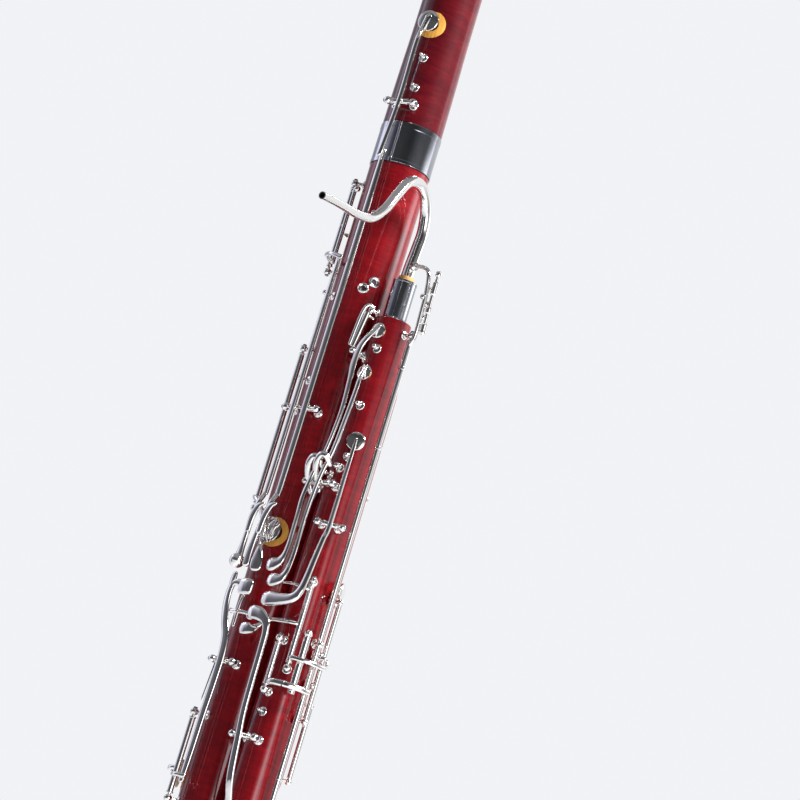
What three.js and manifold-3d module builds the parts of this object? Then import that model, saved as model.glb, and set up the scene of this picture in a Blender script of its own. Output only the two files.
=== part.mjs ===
// A bassoon with the German key system, in millimetres.
// It stands on the cap of its boot: +Z runs up the bores, the thumb keys face -Y and
// the finger holes face +Y. The long joint and the bell are at -X, the wing joint at +X.
// The origin is the centre of the flat underside of the boot's cap.
import * as THREE from 'three';
import { mergeVertices } from 'three/addons/utils/BufferGeometryUtils.js';
import Module from 'manifold-3d';

const wasm = await Module();
wasm.setup();

// Driving dimensions
const GAP = 0.35; // between neighbouring pieces
const BORE_SPACING = 37;
const LONG_X = -BORE_SPACING / 2;
const WING_X = BORE_SPACING / 2;
const BOOT = { top: 440, bottom: 50, halfDepth: 26.5, ferruleLow: 414, footLow: 72 };
const CAP = { top: 49.6, floor: 1.6, wall: 1.3 };
const SOCKET = { floor: 404, long: 16.6, wing: 12.4 };
const BORE = { long: 12.5, longTop: 15, wing: 4.2, bootWide: 10.5, bootNarrow: 8.5 };
const WING_TOP = 895;
const LONG_TOP = 1011;
const FERRULE_TOP = 1043;
const BELL_TOP = 1330;
const RING_TOP = 1345;
const SLEEVE = { top: 926, outer: 8.7, inner: 6.1 };
// outer radius of each turned piece as [height, radius]
const LONG_PROFILE = [[440.4, 19.4], [526, 20], [700, 20.8], [LONG_TOP, 22.2]];
const WING_PROFILE = [[440.4, 16.6], [700, 15.2], [WING_TOP, 13.4]];
const BELL_PROFILE = [
  [FERRULE_TOP + GAP, 22.4], [1085, 22], [1125, 21.4], [1200, 21.3],
  [1250, 22.4], [1290, 24.8], [1315, 27.4], [BELL_TOP, 28.6],
];
// key work
const AXLE_RADIUS = 1.1;
const BARREL = { outer: 2.5, bore: 1.55 };
const BALL_RADIUS = 2.9;
const LEVER_RADIUS = 1.7;
const SEAT = 0.4; // a closed pad cup above the wood
const CUP_HEIGHT = 3;

const wood = new THREE.MeshStandardMaterial({ color: 0x7d0f1a, roughness: 0.18 });
const silver = new THREE.MeshStandardMaterial({ color: 0xe9e7e2, roughness: 0.14, metalness: 1 });
const dark = new THREE.MeshStandardMaterial({ color: 0x8a8a8e, roughness: 0.1, metalness: 1 });
const cork = new THREE.MeshStandardMaterial({ color: 0xc9975a, roughness: 0.9 });
const ivory = new THREE.MeshStandardMaterial({ color: 0xeee8da, roughness: 0.35 });
const brass = new THREE.MeshStandardMaterial({ color: 0xb8924a, roughness: 0.3, metalness: 1 });

const bassoon = new THREE.Group();
bassoon.name = 'bassoon';

// ---------------------------------------------------------------- solids

const V = (x, y, z) => new THREE.Vector3(x, y, z);
const UP = V(0, 1, 0);
const radians = THREE.MathUtils.degToRad;

// A closed three.js geometry as a solid for joining and cutting.
function solid(geometry) {
  const bare = geometry.index ? geometry.clone() : geometry;
  bare.deleteAttribute('normal');
  bare.deleteAttribute('uv');
  const merged = mergeVertices(bare, 1e-4);
  const index = merged.index.array;
  const triangles = [];
  for (let i = 0; i < index.length; i += 3) {
    const [a, b, c] = [index[i], index[i + 1], index[i + 2]];
    if (a !== b && b !== c && a !== c) triangles.push(a, b, c);
  }
  const vertProperties = new Float32Array(merged.attributes.position.array);
  const mesh = new wasm.Mesh({ numProp: 3, vertProperties, triVerts: new Uint32Array(triangles) });
  return new wasm.Manifold(mesh);
}

const joined = (...solids) => solids.flat(2).reduce((whole, piece) => whole.add(piece));

function addPart(name, shape, material) {
  const { vertProperties, triVerts } = shape.getMesh();
  const geometry = new THREE.BufferGeometry();
  geometry.setAttribute('position', new THREE.BufferAttribute(new Float32Array(vertProperties), 3));
  geometry.setIndex(new THREE.BufferAttribute(new Uint32Array(triVerts), 1));
  geometry.computeVertexNormals();
  const mesh = new THREE.Mesh(geometry, material);
  mesh.name = name;
  bassoon.add(mesh);
}

// Turns a geometry's +Y onto the way from one point to another, and centres it between them.
function placeBetween(geometry, from, to) {
  const turn = new THREE.Quaternion().setFromUnitVectors(UP, to.clone().sub(from).normalize());
  const middle = from.clone().lerp(to, 0.5);
  return geometry.applyQuaternion(turn).translate(middle.x, middle.y, middle.z);
}

function rod(from, to, radius, sides = 8) {
  const geometry = new THREE.CylinderGeometry(radius, radius, from.distanceTo(to), sides);
  return solid(placeBetween(geometry, from, to));
}

function ball(centre, radius) {
  const geometry = new THREE.SphereGeometry(radius, 8, 6);
  return solid(geometry.translate(centre.x, centre.y, centre.z));
}

// A route of straight stretches, stepped from corner to corner.
class Route extends THREE.Curve {
  constructor(corners) {
    super();
    this.corners = corners;
  }

  getPoint(t) {
    const place = t * (this.corners.length - 1);
    const i = Math.min(Math.floor(place), this.corners.length - 2);
    return this.corners[i].clone().lerp(this.corners[i + 1], place - i);
  }

  getTangent(t) {
    const i = Math.round(t * (this.corners.length - 1));
    const way = (a, b) => this.corners[b].clone().sub(this.corners[a]).normalize();
    const before = way(Math.max(i - 1, 0), Math.max(i, 1));
    const last = this.corners.length - 1;
    return before.add(way(Math.min(i, last - 1), Math.min(i + 1, last))).normalize();
  }

  getUtoTmapping(u) {
    return u;
  }
}

// A bent bar of even section through the points, mitred at each bend.
function bar(points, radius = LEVER_RADIUS, sides = 5) {
  const shape = new THREE.Shape();
  for (let i = 0; i < sides; i += 1) {
    const angle = (i * 2 * Math.PI) / sides;
    const corner = [radius * Math.cos(angle), radius * Math.sin(angle)];
    if (i === 0) shape.moveTo(...corner);
    else shape.lineTo(...corner);
  }
  shape.closePath();
  const options = { steps: points.length - 1, extrudePath: new Route(points), curveSegments: 1 };
  return solid(new THREE.ExtrudeGeometry(shape, options));
}

// An open tube about the upright line at x, from [height, radius] pairs outside and inside.
function turned(x, outside, inside, sides = 20) {
  const points = [...outside, ...inside.slice().reverse(), outside[0]];
  const outline = points.map(([z, r]) => new THREE.Vector2(r, z));
  const geometry = new THREE.LatheGeometry(outline, sides);
  return solid(geometry.rotateX(Math.PI / 2).translate(x, 0, 0));
}

const ring = (x, low, high, outer, inner) =>
  turned(x, [[low, outer], [high, outer]], [[low, inner], [high, inner]]);

// The rounded oblong that goes round both bores, grown or shrunk by an offset.
function oblong(low, high, radius) {
  const shape = new THREE.Shape();
  shape.absarc(WING_X, 0, radius, -Math.PI / 2, Math.PI / 2);
  shape.absarc(LONG_X, 0, radius, Math.PI / 2, Math.PI * 1.5);
  const options = { depth: high - low, bevelEnabled: false, curveSegments: 8 };
  return solid(new THREE.ExtrudeGeometry(shape, options).translate(0, 0, low));
}

// ---------------------------------------------------------------- places

function radiusAt(profile, z) {
  let i = 1;
  while (i < profile.length - 1 && profile[i][0] < z) i += 1;
  const [[z0, r0], [z1, r1]] = [profile[i - 1], profile[i]];
  return r0 + ((r1 - r0) * THREE.MathUtils.clamp(z - z0, 0, z1 - z0)) / (z1 - z0);
}

const LONG = { x: LONG_X, profile: LONG_PROFILE };
const WING = { x: WING_X, profile: WING_PROFILE };
const BELL = { x: LONG_X, profile: BELL_PROFILE };

// A point by its way out from a tube's axis: degrees from -Y towards +X, distance, sideways, height.
function station(tube, degrees) {
  const out = V(Math.sin(radians(degrees)), -Math.cos(radians(degrees)), 0);
  const side = V(-out.y, out.x, 0);
  return (distance, sideways, z) =>
    V(tube.x, 0, z).addScaledVector(out, distance).addScaledVector(side, sideways);
}

// The nearest point of the wood under a post's head, and the way out from it.
function footUnder(tube, head) {
  if (tube === 'boot') {
    const middle = V(THREE.MathUtils.clamp(head.x, LONG_X, WING_X), 0, head.z);
    const out = head.clone().sub(middle).normalize();
    return middle.addScaledVector(out, BOOT.halfDepth + GAP);
  }
  const middle = V(tube.x, 0, head.z);
  const out = head.clone().sub(middle).normalize();
  return middle.addScaledVector(out, radiusAt(tube.profile, head.z) + GAP);
}

// ---------------------------------------------------------------- key work

// A turned post: a foot on the wood, a neck and a round head.
function post(tube, head) {
  const foot = footUnder(tube, head);
  const rise = head.distanceTo(foot);
  const top = rise + BALL_RADIUS;
  const outline = [
    [0, 0], [2.9, 0], [1.6, 1.4], [1.6, rise - 2.2], [BALL_RADIUS, rise - 0.8],
    [BALL_RADIUS, rise + 0.8], [0, top],
  ].map(([r, h]) => new THREE.Vector2(r, h - top / 2));
  const end = foot.clone().lerp(head, top / rise);
  return solid(placeBetween(new THREE.LatheGeometry(outline, 6), foot, end));
}

const axle = (tube, from, to) =>
  joined(post(tube, from), post(tube, to), rod(from, to, AXLE_RADIUS, 6));

// A key on an axle: its barrel, given as distances from the axle's first head, and its limbs.
function key(from, to, [start, end], ...limbs) {
  const way = to.clone().sub(from).normalize();
  const at = (distance) => from.clone().addScaledVector(way, distance);
  const barrel = rod(at(start), at(end), BARREL.outer, 6);
  const bore = rod(at(start - 1), at(end + 1), BARREL.bore, 6);
  return joined(barrel, limbs).subtract(bore);
}

// The same key let open from its closed place, by degrees about the line through a point.
function opened(shape, pivot, axis, degrees) {
  const turn = new THREE.Matrix4().makeRotationAxis(axis.clone().normalize(), radians(degrees));
  const matrix = new THREE.Matrix4().makeTranslation(pivot.x, pivot.y, pivot.z);
  matrix.multiply(turn).multiply(new THREE.Matrix4().makeTranslation(-pivot.x, -pivot.y, -pivot.z));
  return shape.transform(matrix.elements);
}

// A pad cup: a shallow dome, flat side towards the wood.
function cup(seat, out, radius, height = CUP_HEIGHT) {
  const outline = [
    [0, 0], [radius, 0], [radius, height * 0.6], [0, height],
  ].map(([r, h]) => new THREE.Vector2(r, h - height / 2));
  const top = seat.clone().addScaledVector(out, height);
  return solid(placeBetween(new THREE.LatheGeometry(outline, 10), seat, top));
}

// A closed cup on a tube, by its degrees, height and radius.
function cupOn(tube, degrees, z, radius, height = CUP_HEIGHT) {
  const at = station(tube, degrees);
  const seat = at(radiusAt(tube.profile, z) + SEAT, 0, z);
  return cup(seat, at(1, 0, 0).sub(V(tube.x, 0, 0)), radius, height);
}

// A finger plate facing -Y or +Y: an oval lens.
function touch(centre, width, height, thick = 2.8) {
  const geometry = new THREE.SphereGeometry(0.5, 8, 4).rotateX(Math.PI / 2);
  geometry.scale(width, thick, height);
  return solid(geometry.translate(centre.x, centre.y, centre.z));
}

// ---------------------------------------------------------------- bell

function makeBell() {
  const socketFloor = 1038;
  const outside = [[LONG_TOP + 0.6, 20.4], [FERRULE_TOP - GAP, 20.4], ...BELL_PROFILE];
  outside.splice(2, 0, [FERRULE_TOP + GAP, 20.4]);
  const inside = [
    [LONG_TOP + 0.6, 19.3], [socketFloor, 19.3], [socketFloor + GAP, 16.2],
    [1200, 17.5], [1290, 19], [BELL_TOP, 20.5],
  ];
  addPart('bell_wood', turned(LONG_X, outside, inside), wood);
  const rim = [[BELL_TOP + GAP, 29.4], [BELL_TOP + 6, 30.6], [RING_TOP - 3, 30.6], [RING_TOP, 28.6]];
  const rimInside = [[BELL_TOP + GAP, 20.6], [RING_TOP - 2, 21.5], [RING_TOP, 23]];
  addPart('bell_ring', turned(LONG_X, rim, rimInside), ivory);
  addPart('bell_ferrule', ring(LONG_X, LONG_TOP + 0.4, FERRULE_TOP, 22.9, 20.9), dark);
}

// ---------------------------------------------------------------- long joint

function makeLongJoint() {
  const footRadius = SOCKET.long - 1.4;
  const topRadius = 17.6;
  const outside = [
    [SOCKET.floor + 1, footRadius], [440, footRadius],
    ...LONG_PROFILE, [LONG_TOP + 0.1, topRadius], [1036, topRadius],
  ];
  const inside = [[SOCKET.floor + 1, BORE.long], [1036, BORE.longTop]];
  addPart('long_joint_wood', turned(LONG_X, outside, inside), wood);
  addPart('long_joint_top_cork', ring(LONG_X, 1013, 1034, 18.9, topRadius + GAP), cork);
  addPart('long_joint_foot_cork',
    ring(LONG_X, SOCKET.floor + 4, 436, SOCKET.long - GAP, footRadius + GAP), cork);
}

// ---------------------------------------------------------------- wing joint

// The wing: the thick flange on the finger side that the slanted finger holes run through.
function wingFlange() {
  const shape = new THREE.Shape();
  shape.moveTo(-9, 0);
  shape.lineTo(9, 0);
  shape.lineTo(8, 19);
  shape.quadraticCurveTo(0, 27, -7, 19);
  shape.closePath();
  const options = { depth: 345, bevelEnabled: false, curveSegments: 5 };
  return solid(new THREE.ExtrudeGeometry(shape, options).translate(WING_X, 0, 540));
}

function makeWingJoint() {
  const footRadius = SOCKET.wing - 1.4;
  const outside = [[SOCKET.floor + 1, footRadius], [440, footRadius], ...WING_PROFILE];
  const body = turned(WING_X, outside, [[SOCKET.floor + 1, BORE.wing], [WING_TOP, BORE.wing]]);
  const bore = rod(V(WING_X, 0, 500), V(WING_X, 0, 870), BORE.wing, 14);
  const holes = [610, 690, 770].map((z) => rod(V(WING_X, 0, z - 12), V(WING_X, 32, z), 3.2, 10));
  const shape = [bore, ...holes].reduce((whole, hole) => whole.subtract(hole), body.add(wingFlange()));
  addPart('wing_joint_wood', shape, wood);
  addPart('wing_joint_foot_cork',
    ring(WING_X, SOCKET.floor + 4, 436, SOCKET.wing - GAP, footRadius + GAP), cork);
  addPart('bocal_socket',
    ring(WING_X, WING_TOP + GAP, SLEEVE.top, SLEEVE.outer, SLEEVE.inner), dark);
}

// ---------------------------------------------------------------- bocal

// The crook in its own upright plane: [way out, height] from the socket up, over and out.
const CROOK = [
  [0, 902], [0, 932], [-2, 951], [-3, 968], [4, 984], [20, 993], [38, 988],
  [50, 973], [61, 957], [76, 944], [96, 938], [122, 934], [150, 929],
];
const CROOK_WAY = V(0.25, -0.968, 0);
const CROOK_RADIUS = { socket: 5.1, tip: 2.8, wall: 0.72 };

function makeBocal() {
  const points = CROOK.map(([out, z]) => V(WING_X, 0, z).addScaledVector(CROOK_WAY, out));
  const path = new THREE.CatmullRomCurve3(points);
  const shape = new THREE.Shape();
  shape.absarc(0, 0, CROOK_RADIUS.socket, 0, Math.PI * 2);
  const hollow = new THREE.Path();
  hollow.absarc(0, 0, CROOK_RADIUS.socket * CROOK_RADIUS.wall, 0, Math.PI * 2);
  shape.holes.push(hollow);
  const steps = 26;
  const geometry = new THREE.ExtrudeGeometry(shape, { steps, extrudePath: path, curveSegments: 4 });
  const stops = path.getSpacedPoints(steps);
  const position = geometry.attributes.position;
  for (let i = 0; i < position.count; i += 1) {
    const point = new THREE.Vector3().fromBufferAttribute(position, i);
    const distances = stops.map((stop) => stop.distanceTo(point));
    const nearest = distances.indexOf(Math.min(...distances));
    const share = nearest / steps;
    const scale = THREE.MathUtils.lerp(1, CROOK_RADIUS.tip / CROOK_RADIUS.socket, share);
    point.sub(stops[nearest]).multiplyScalar(scale).add(stops[nearest]);
    position.setXYZ(i, point.x, point.y, point.z);
  }
  const nib = station(WING, 60);
  const pipe = rod(nib(4.4, 0, 936), nib(9.5, 0, 936), 1.6);
  addPart('bocal', solid(geometry).add(pipe), silver);
  addPart('bocal_cork', ring(WING_X, 903, 930, SLEEVE.inner - GAP, 5.1 + GAP * 0.8), cork);
}

// ---------------------------------------------------------------- boot

function makeBoot() {
  const tenon = BOOT.halfDepth - 2;
  const body = joined(
    oblong(BOOT.bottom, BOOT.footLow, tenon),
    oblong(BOOT.footLow - 0.1, BOOT.ferruleLow - 0.3, BOOT.halfDepth),
    oblong(BOOT.ferruleLow - 0.4, BOOT.top, tenon),
  );
  const cuts = [
    rod(V(LONG_X, 0, 40), V(LONG_X, 0, 450), BORE.bootWide, 20),
    rod(V(WING_X, 0, 40), V(WING_X, 0, 450), BORE.bootNarrow, 20),
    rod(V(LONG_X, 0, SOCKET.floor), V(LONG_X, 0, 450), SOCKET.long, 28),
    rod(V(WING_X, 0, SOCKET.floor), V(WING_X, 0, 450), SOCKET.wing, 28),
  ];
  addPart('boot_wood', cuts.reduce((whole, hole) => whole.subtract(hole), body), wood);
  const band = (low, high) =>
    oblong(low, high, BOOT.halfDepth + 0.6).subtract(oblong(low - 1, high + 1, tenon + GAP));
  addPart('boot_top_ferrule', band(BOOT.ferruleLow, BOOT.top).add(strapEye()), silver);
  addPart('boot_bottom_ferrule', band(BOOT.bottom + 0.3, BOOT.footLow - 0.5), silver);
  const shell = oblong(0, CAP.top, BOOT.halfDepth);
  addPart('boot_cap', shell.subtract(oblong(CAP.floor, 60, BOOT.halfDepth - CAP.wall)), silver);
}

// The U-tube under the boot joins the two bores; its plate is screwed up against a gasket.
function makeReturnBend() {
  const plateLow = 43;
  const reach = BORE_SPACING / 2;
  const bend = new THREE.CatmullRomCurve3([
    V(WING_X, 0, plateLow + 1), V(WING_X, 0, 34), V(reach * 0.72, 0, 19),
    V(0, 0, 13.5), V(-reach * 0.72, 0, 19), V(LONG_X, 0, 34), V(LONG_X, 0, plateLow + 1),
  ]);
  const section = (radius) => {
    const shape = new THREE.Shape();
    shape.absarc(0, 0, radius, 0, Math.PI * 2);
    const options = { steps: 12, extrudePath: bend, curveSegments: 4 };
    return solid(new THREE.ExtrudeGeometry(shape, options));
  };
  const plate = oblong(plateLow, plateLow + 4, 16);
  const openings = [LONG_X, WING_X].map((x) => rod(V(x, 0, 41), V(x, 0, 50), 8, 8));
  const tube = openings.reduce((whole, hole) => whole.subtract(hole),
    section(10).add(plate).subtract(section(8)));
  addPart('u_tube', tube, brass);
  const gasket = oblong(plateLow + 4 + GAP, BOOT.bottom - GAP, 16);
  const holes = [LONG_X, WING_X].map((x) => rod(V(x, 0, 41), V(x, 0, 55), 10.5, 16));
  addPart('u_tube_gasket', holes.reduce((whole, hole) => whole.subtract(hole), gasket), cork);
}

// ---------------------------------------------------------------- fittings

const STRAP_PIVOT = V(0, -(BOOT.halfDepth + 5), 427);

function strapEye() {
  const legs = [-1, 1].map((side) => {
    const x = side * 5.5;
    return rod(V(x, -25.6, 427), V(x, STRAP_PIVOT.y - 0.6, 427), 2, 6);
  });
  const pin = rod(V(-6, STRAP_PIVOT.y, 427), V(6, STRAP_PIVOT.y, 427), AXLE_RADIUS);
  return joined(legs, pin);
}

function makeFittings() {
  const hoop = new THREE.TorusGeometry(9, 1.4, 6, 16).rotateX(Math.PI / 2);
  const hanging = V(0, STRAP_PIVOT.y, STRAP_PIVOT.z - 3.2 - 9);
  const loop = solid(hoop.translate(hanging.x, hanging.y, hanging.z));
  const hub = rod(V(-2.8, STRAP_PIVOT.y, 427), V(2.8, STRAP_PIVOT.y, 427), 3.2);
  const pinHole = rod(V(-4, STRAP_PIVOT.y, 427), V(4, STRAP_PIVOT.y, 427), BARREL.bore);
  addPart('strap_ring', loop.add(hub).subtract(pinHole), silver);
  const grip = bar([V(20, 52, 362), V(34, 58, 356), V(46, 52, 346), V(52, 42, 338)], 5.5, 8);
  const stem = bar([V(22, 31, 345), V(24, 40, 350), V(26, 52, 358)], 3, 8);
  const plate = rod(V(21.5, 27, 345), V(21.5, 32, 345), 6, 12);
  addPart('hand_rest', joined(grip, stem, plate), wood);
  const lockTop = V(0.4, -20.5, 464);
  const pin = bar([V(0.4, -20.5, 446), lockTop], 1.6);
  addPart('body_lock_pin', pin.add(ball(V(0.4, -20.5, 466), 3.2)), silver);
}

// ---------------------------------------------------------------- keys of the bell and long joint

function makeLowBFlat() {
  const bell = station(BELL, 11.5);
  const heads = [bell(27.6, -10.5, 1056), bell(27.6, 10.5, 1056)];
  addPart('low_b_flat_pad_axle', axle(BELL, ...heads), silver);
  const pad = station(BELL, 18);
  const arm = bar([pad(24, 0, 1121), bell(26.6, 0, 1108), bell(30, 0, 1056), bell(37.6, 0, 1010)]);
  const padKey = key(...heads, [4, 17], arm, cupOn(BELL, 18, 1121, 8));
  addPart('low_b_flat_pad_key', opened(padKey, heads[0], heads[1].clone().sub(heads[0]), 4), silver);
}

const LEVER_HEADS = [V(-31.5, -27.6, 817), V(-2.5, -27.6, 817)];

function makeLongLevers() {
  addPart('long_lever_axle', axle(LONG, ...LEVER_HEADS), silver);
  const flat = bar([
    V(-12.6, -28.6, 1016), V(-11, -30.1, 960), V(-11, -30.2, 762), V(-11.2, -33.8, 747),
    V(-12, -35.2, 739), V(-15.4, -35.6, 707),
  ]);
  addPart('low_b_flat_lever',
    key(...LEVER_HEADS, [16.5, 24.5], flat, touch(V(-15.6, -35.6, 703), 5.8, 20)), silver);
  const natural = bar([
    V(-22.6, -29.9, 930), V(-22.6, -30.2, 762), V(-22.7, -33.8, 747), V(-22.9, -35.2, 738),
    V(-25.2, -35.2, 701),
  ]);
  addPart('low_b_lever',
    key(...LEVER_HEADS, [5, 13], natural, touch(V(-25.4, -35.2, 699.6), 10, 10.6)), silver);
}

function makeLowB() {
  const heads = [V(-44, -14.6, 996), V(-44, -14.6, 926)];
  addPart('low_b_pad_axle', axle(LONG, ...heads), silver);
  const pad = station(LONG, -110);
  const padArm = bar([V(-44, -14.6, 960), V(-48, -4, 960), pad(26.4, 0, 960)], 1.5);
  const tail = bar([
    V(-44, -14.6, 934), V(-40, -28, 934), V(-31, -35.6, 933), V(-20, -37.8, 930),
  ], 1.4);
  const shape = key(...heads, [3.6, 66.4], padArm, tail, cupOn(LONG, -110, 960, 9.5));
  addPart('low_b_pad_key', opened(shape, heads[0], V(0, 0, 1), 9), silver);
}

function makeLowC() {
  const heads = [V(-44.5, -14, 866), V(-44.5, -14, 744)];
  addPart('low_c_axle', axle(LONG, ...heads), silver);
  const arm = bar([
    V(-44.5, -14, 752), V(-38.5, -22, 750), V(-30, -24, 746), V(-22, -24, 738), V(-18, -24.9, 731),
    V(-12, -26, 716), V(-7, -30, 708),
  ], 1.5);
  const plate = touch(V(-5.3, -30.9, 701), 9, 20);
  const shape = key(...heads, [3.6, 118.4], arm, cupOn(LONG, 13, 727, 9.4), plate);
  addPart('low_c_key', opened(shape, heads[0], V(0, 0, 1), -5.5), silver);
}

function makeLowD() {
  const heads = [V(-27.6, -27.2, 630), V(-8.6, -27.2, 630)];
  addPart('low_d_lever_axle', axle(LONG, ...heads), silver);
  const lever = bar([
    V(-14, -34, 683.4), V(-23.6, -33.8, 683.4), V(-25.6, -33, 676), V(-25.2, -32.2, 666),
    V(-19, -31.2, 647), V(-17, -30.8, 632), V(-17.6, -30.3, 611), V(-19.4, -29.9, 541),
  ], 1.8);
  addPart('low_d_lever', key(...heads, [4, 15], lever, touch(V(-10.2, -34.5, 682.2), 13, 12)), silver);

  const hinge = station(LONG, -28);
  const pivots = [hinge(27.8, 0, 592), hinge(27.8, 0, 530)];
  addPart('low_d_pad_axle', axle(LONG, ...pivots), silver);
  const pad = station(LONG, -66);
  const padArm = bar([hinge(27.8, 0, 552), hinge(29, -8, 551), pad(24.6, 0, 550)], 1.5);
  const tail = bar([
    hinge(27.8, 0, 546), V(-29.8, -31, 546), V(-24.6, -36, 546), V(-16.4, -37.2, 546),
  ], 1.4);
  const shape = key(...pivots, [3.6, 58.4], padArm, tail, cupOn(LONG, -66, 550, 10.5));
  addPart('low_d_pad_key', opened(shape, pivots[0], V(0, 0, 1), 12), silver);
}

// The left little finger's two keys on the finger side.
function makeLittleFingerKeys() {
  const heads = [V(-33, 27.4, 600), V(-4, 27.4, 600)];
  addPart('little_finger_axle', axle(LONG, ...heads), silver);
  const sharp = bar([V(-11, 33, 655), V(-12, 30.4, 612), V(-12, 29.8, 588), V(-14, 22.4, 545)]);
  addPart('low_c_sharp_key',
    key(...heads, [17, 25], sharp, cupOn(LONG, 168, 545, 7.5), touch(V(-10, 34, 655), 11, 20)), silver);
  const flat = bar([V(-24, 33, 655), V(-25, 30.4, 612), V(-25, 29.8, 560), V(-24, 22.2, 518)]);
  addPart('low_e_flat_key',
    key(...heads, [4, 12], flat, cupOn(LONG, 193, 518, 7.5), touch(V(-24, 34, 655), 11, 20)), silver);
}

// ---------------------------------------------------------------- keys of the wing joint

function makeHighKeys() {
  const heads = [V(2.4, -21.5, 766), V(27.4, -21.5, 766)];
  addPart('high_key_axle', axle(WING, ...heads), silver);
  const dPad = station(WING, 8);
  const dLever = bar([
    dPad(15.4, 0, 883), V(14.2, -21, 866), V(13.3, -21.8, 852), V(15.4, -22.4, 815),
    V(14.2, -23.4, 790), V(9.4, -24.4, 766), V(11.4, -28.8, 739), V(12.4, -31, 711), V(10, -32.2, 703),
  ], 1.5);
  addPart('high_d_key',
    key(...heads, [3.6, 8.6], dLever, cupOn(WING, 8, 883, 5.8), touch(V(7.4, -32.5, 702), 15, 9)), silver);
  const cPad = station(WING, 5);
  const cLever = bar([
    cPad(15.6, 0, 851), V(21.2, -20.8, 834), V(21.2, -22.2, 815), V(20.2, -23.4, 790),
    V(16.8, -25, 764), V(15.8, -25.8, 742), V(16.2, -26.2, 722), V(18.2, -29.4, 702), V(16.4, -31.6, 692.4),
  ], 1.5);
  addPart('high_c_key',
    key(...heads, [11, 21], cLever, cupOn(WING, 5, 851, 5.8), touch(V(12.6, -32.5, 690.5), 19, 9)), silver);
}

function makeHighA() {
  const at = station(WING, 38.5);
  const heads = [at(20.6, -8.8, 738), at(20.6, 8.8, 738)];
  addPart('high_a_axle', axle(WING, ...heads), silver);
  const lever = bar([
    at(16.6, 0, 801), at(19.4, 0, 790), at(23, 0, 738), V(32.6, -21.6, 722),
    V(32.4, -26, 706), V(33.4, -29.4, 690), V(30.6, -31, 681),
  ]);
  addPart('high_a_key',
    key(...heads, [3.6, 14], lever, cupOn(WING, 38.5, 801, 6.6), touch(V(19.6, -31.2, 677.4), 31, 11)), silver);
}

function makeThumbCSharp() {
  const heads = [V(8.2, -24, 582), V(28.6, -24, 582)];
  addPart('thumb_c_sharp_axle', axle(WING, ...heads), silver);
  const lever = bar([
    V(13, -35.8, 663), V(19.2, -34, 652), V(17.2, -30.6, 618), V(16.4, -28.8, 598),
    V(16.5, -26.8, 582), V(18, -25, 554), V(18.5, -18.6, 528),
  ], 1.8);
  addPart('thumb_c_sharp_key',
    key(...heads, [4, 15], lever, cupOn(WING, 0, 528, 6.5), touch(V(9, -36, 664.6), 20, 10.4)), silver);
}

const WHISPER_PIVOT = V(39, 0, 0);

function makeWhisper() {
  const at = station(WING, 39);
  const heads = [at(22, 0, 697), at(22, 0, 634)];
  addPart('whisper_touch_axle', axle(WING, ...heads), silver);
  const arm = bar([
    at(22, 0, 665), V(28, -21.6, 665), V(20, -22.4, 665), V(8, -24, 664), V(2.6, -33, 656),
  ], 1.3);
  const tail = bar([
    at(22, 0, 641), V(37.5, -20.4, 641), V(46.4, -12.6, 641), V(49, -1, 641),
    V(47, 5, 643), V(45, 6.4, 648),
  ], 1.3);
  addPart('whisper_touch_key',
    key(...heads, [3.6, 59.4], arm, tail, touch(V(1.9, -33.6, 654), 18, 9)), silver);

  const ends = [V(39, 0, 886), V(39, 0, 470)];
  addPart('whisper_axle', axle(WING, ...ends), silver);
  const nib = station(WING, 60);
  const padArm = bar([
    V(39, 0, 878), V(43.4, -2, 884), V(43.6, -5.2, 920), V(41, -8, 934), nib(12, 0, 936),
  ], 1.5);
  const padCup = rod(nib(9.9, 0, 936), nib(12.4, 0, 936), 3.2, 10);
  const foot = bar([V(39, 0, 648), V(46.6, 1.2, 648)], 1.3);
  const shape = key(...ends, [3.6, 412.4], padArm, padCup, foot);
  addPart('whisper_key', opened(shape, WHISPER_PIVOT, V(0, 0, 1), 8), silver);
}

function makeTrill() {
  const heads = [V(22.3, -21.7, 653), V(22.3, -21.7, 616)];
  addPart('c_sharp_trill_axle', axle(WING, ...heads), silver);
  const arm = bar([
    V(22.3, -21.7, 622), V(30, -24, 622), V(39.5, -19.4, 622), V(45.4, -10, 622), V(46, -4, 622),
  ], 1.5);
  addPart('c_sharp_trill_key', key(...heads, [3.6, 33.4], arm), silver);
}

// ---------------------------------------------------------------- keys of the boot

// A boot key hinged along Z beside the boot: side is -1 or +1 for X, face -1 or +1 for Y.
function boundBootKey(name, side, face, [low, high], pad, finger) {
  const heads = [V(side * 41, face * 24, high), V(side * 41, face * 24, low)];
  const seat = V(pad.x, face * (BOOT.halfDepth + SEAT), pad.z);
  const out = V(0, face, 0);
  const top = seat.clone().addScaledVector(out, 2);
  const limb = bar([
    V(side * 41, face * 24, pad.z), V(side * 34, face * 29.6, pad.z), top,
  ], 1.6);
  const limbs = [limb, cup(seat, out, pad.radius)];
  if (finger) {
    limbs.push(bar([top, V(finger.x, face * 31, finger.z)], 1.6));
    limbs.push(touch(V(finger.x, face * 31.4, finger.z), 13, 17));
  }
  addPart(`${name}_axle`, axle('boot', ...heads), silver);
  const shape = key(...heads, [3.6, high - low - 3.6], limbs);
  addPart(`${name}_key`, opened(shape, heads[0], V(0, 0, 1), side * face * -5), silver);
}

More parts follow.
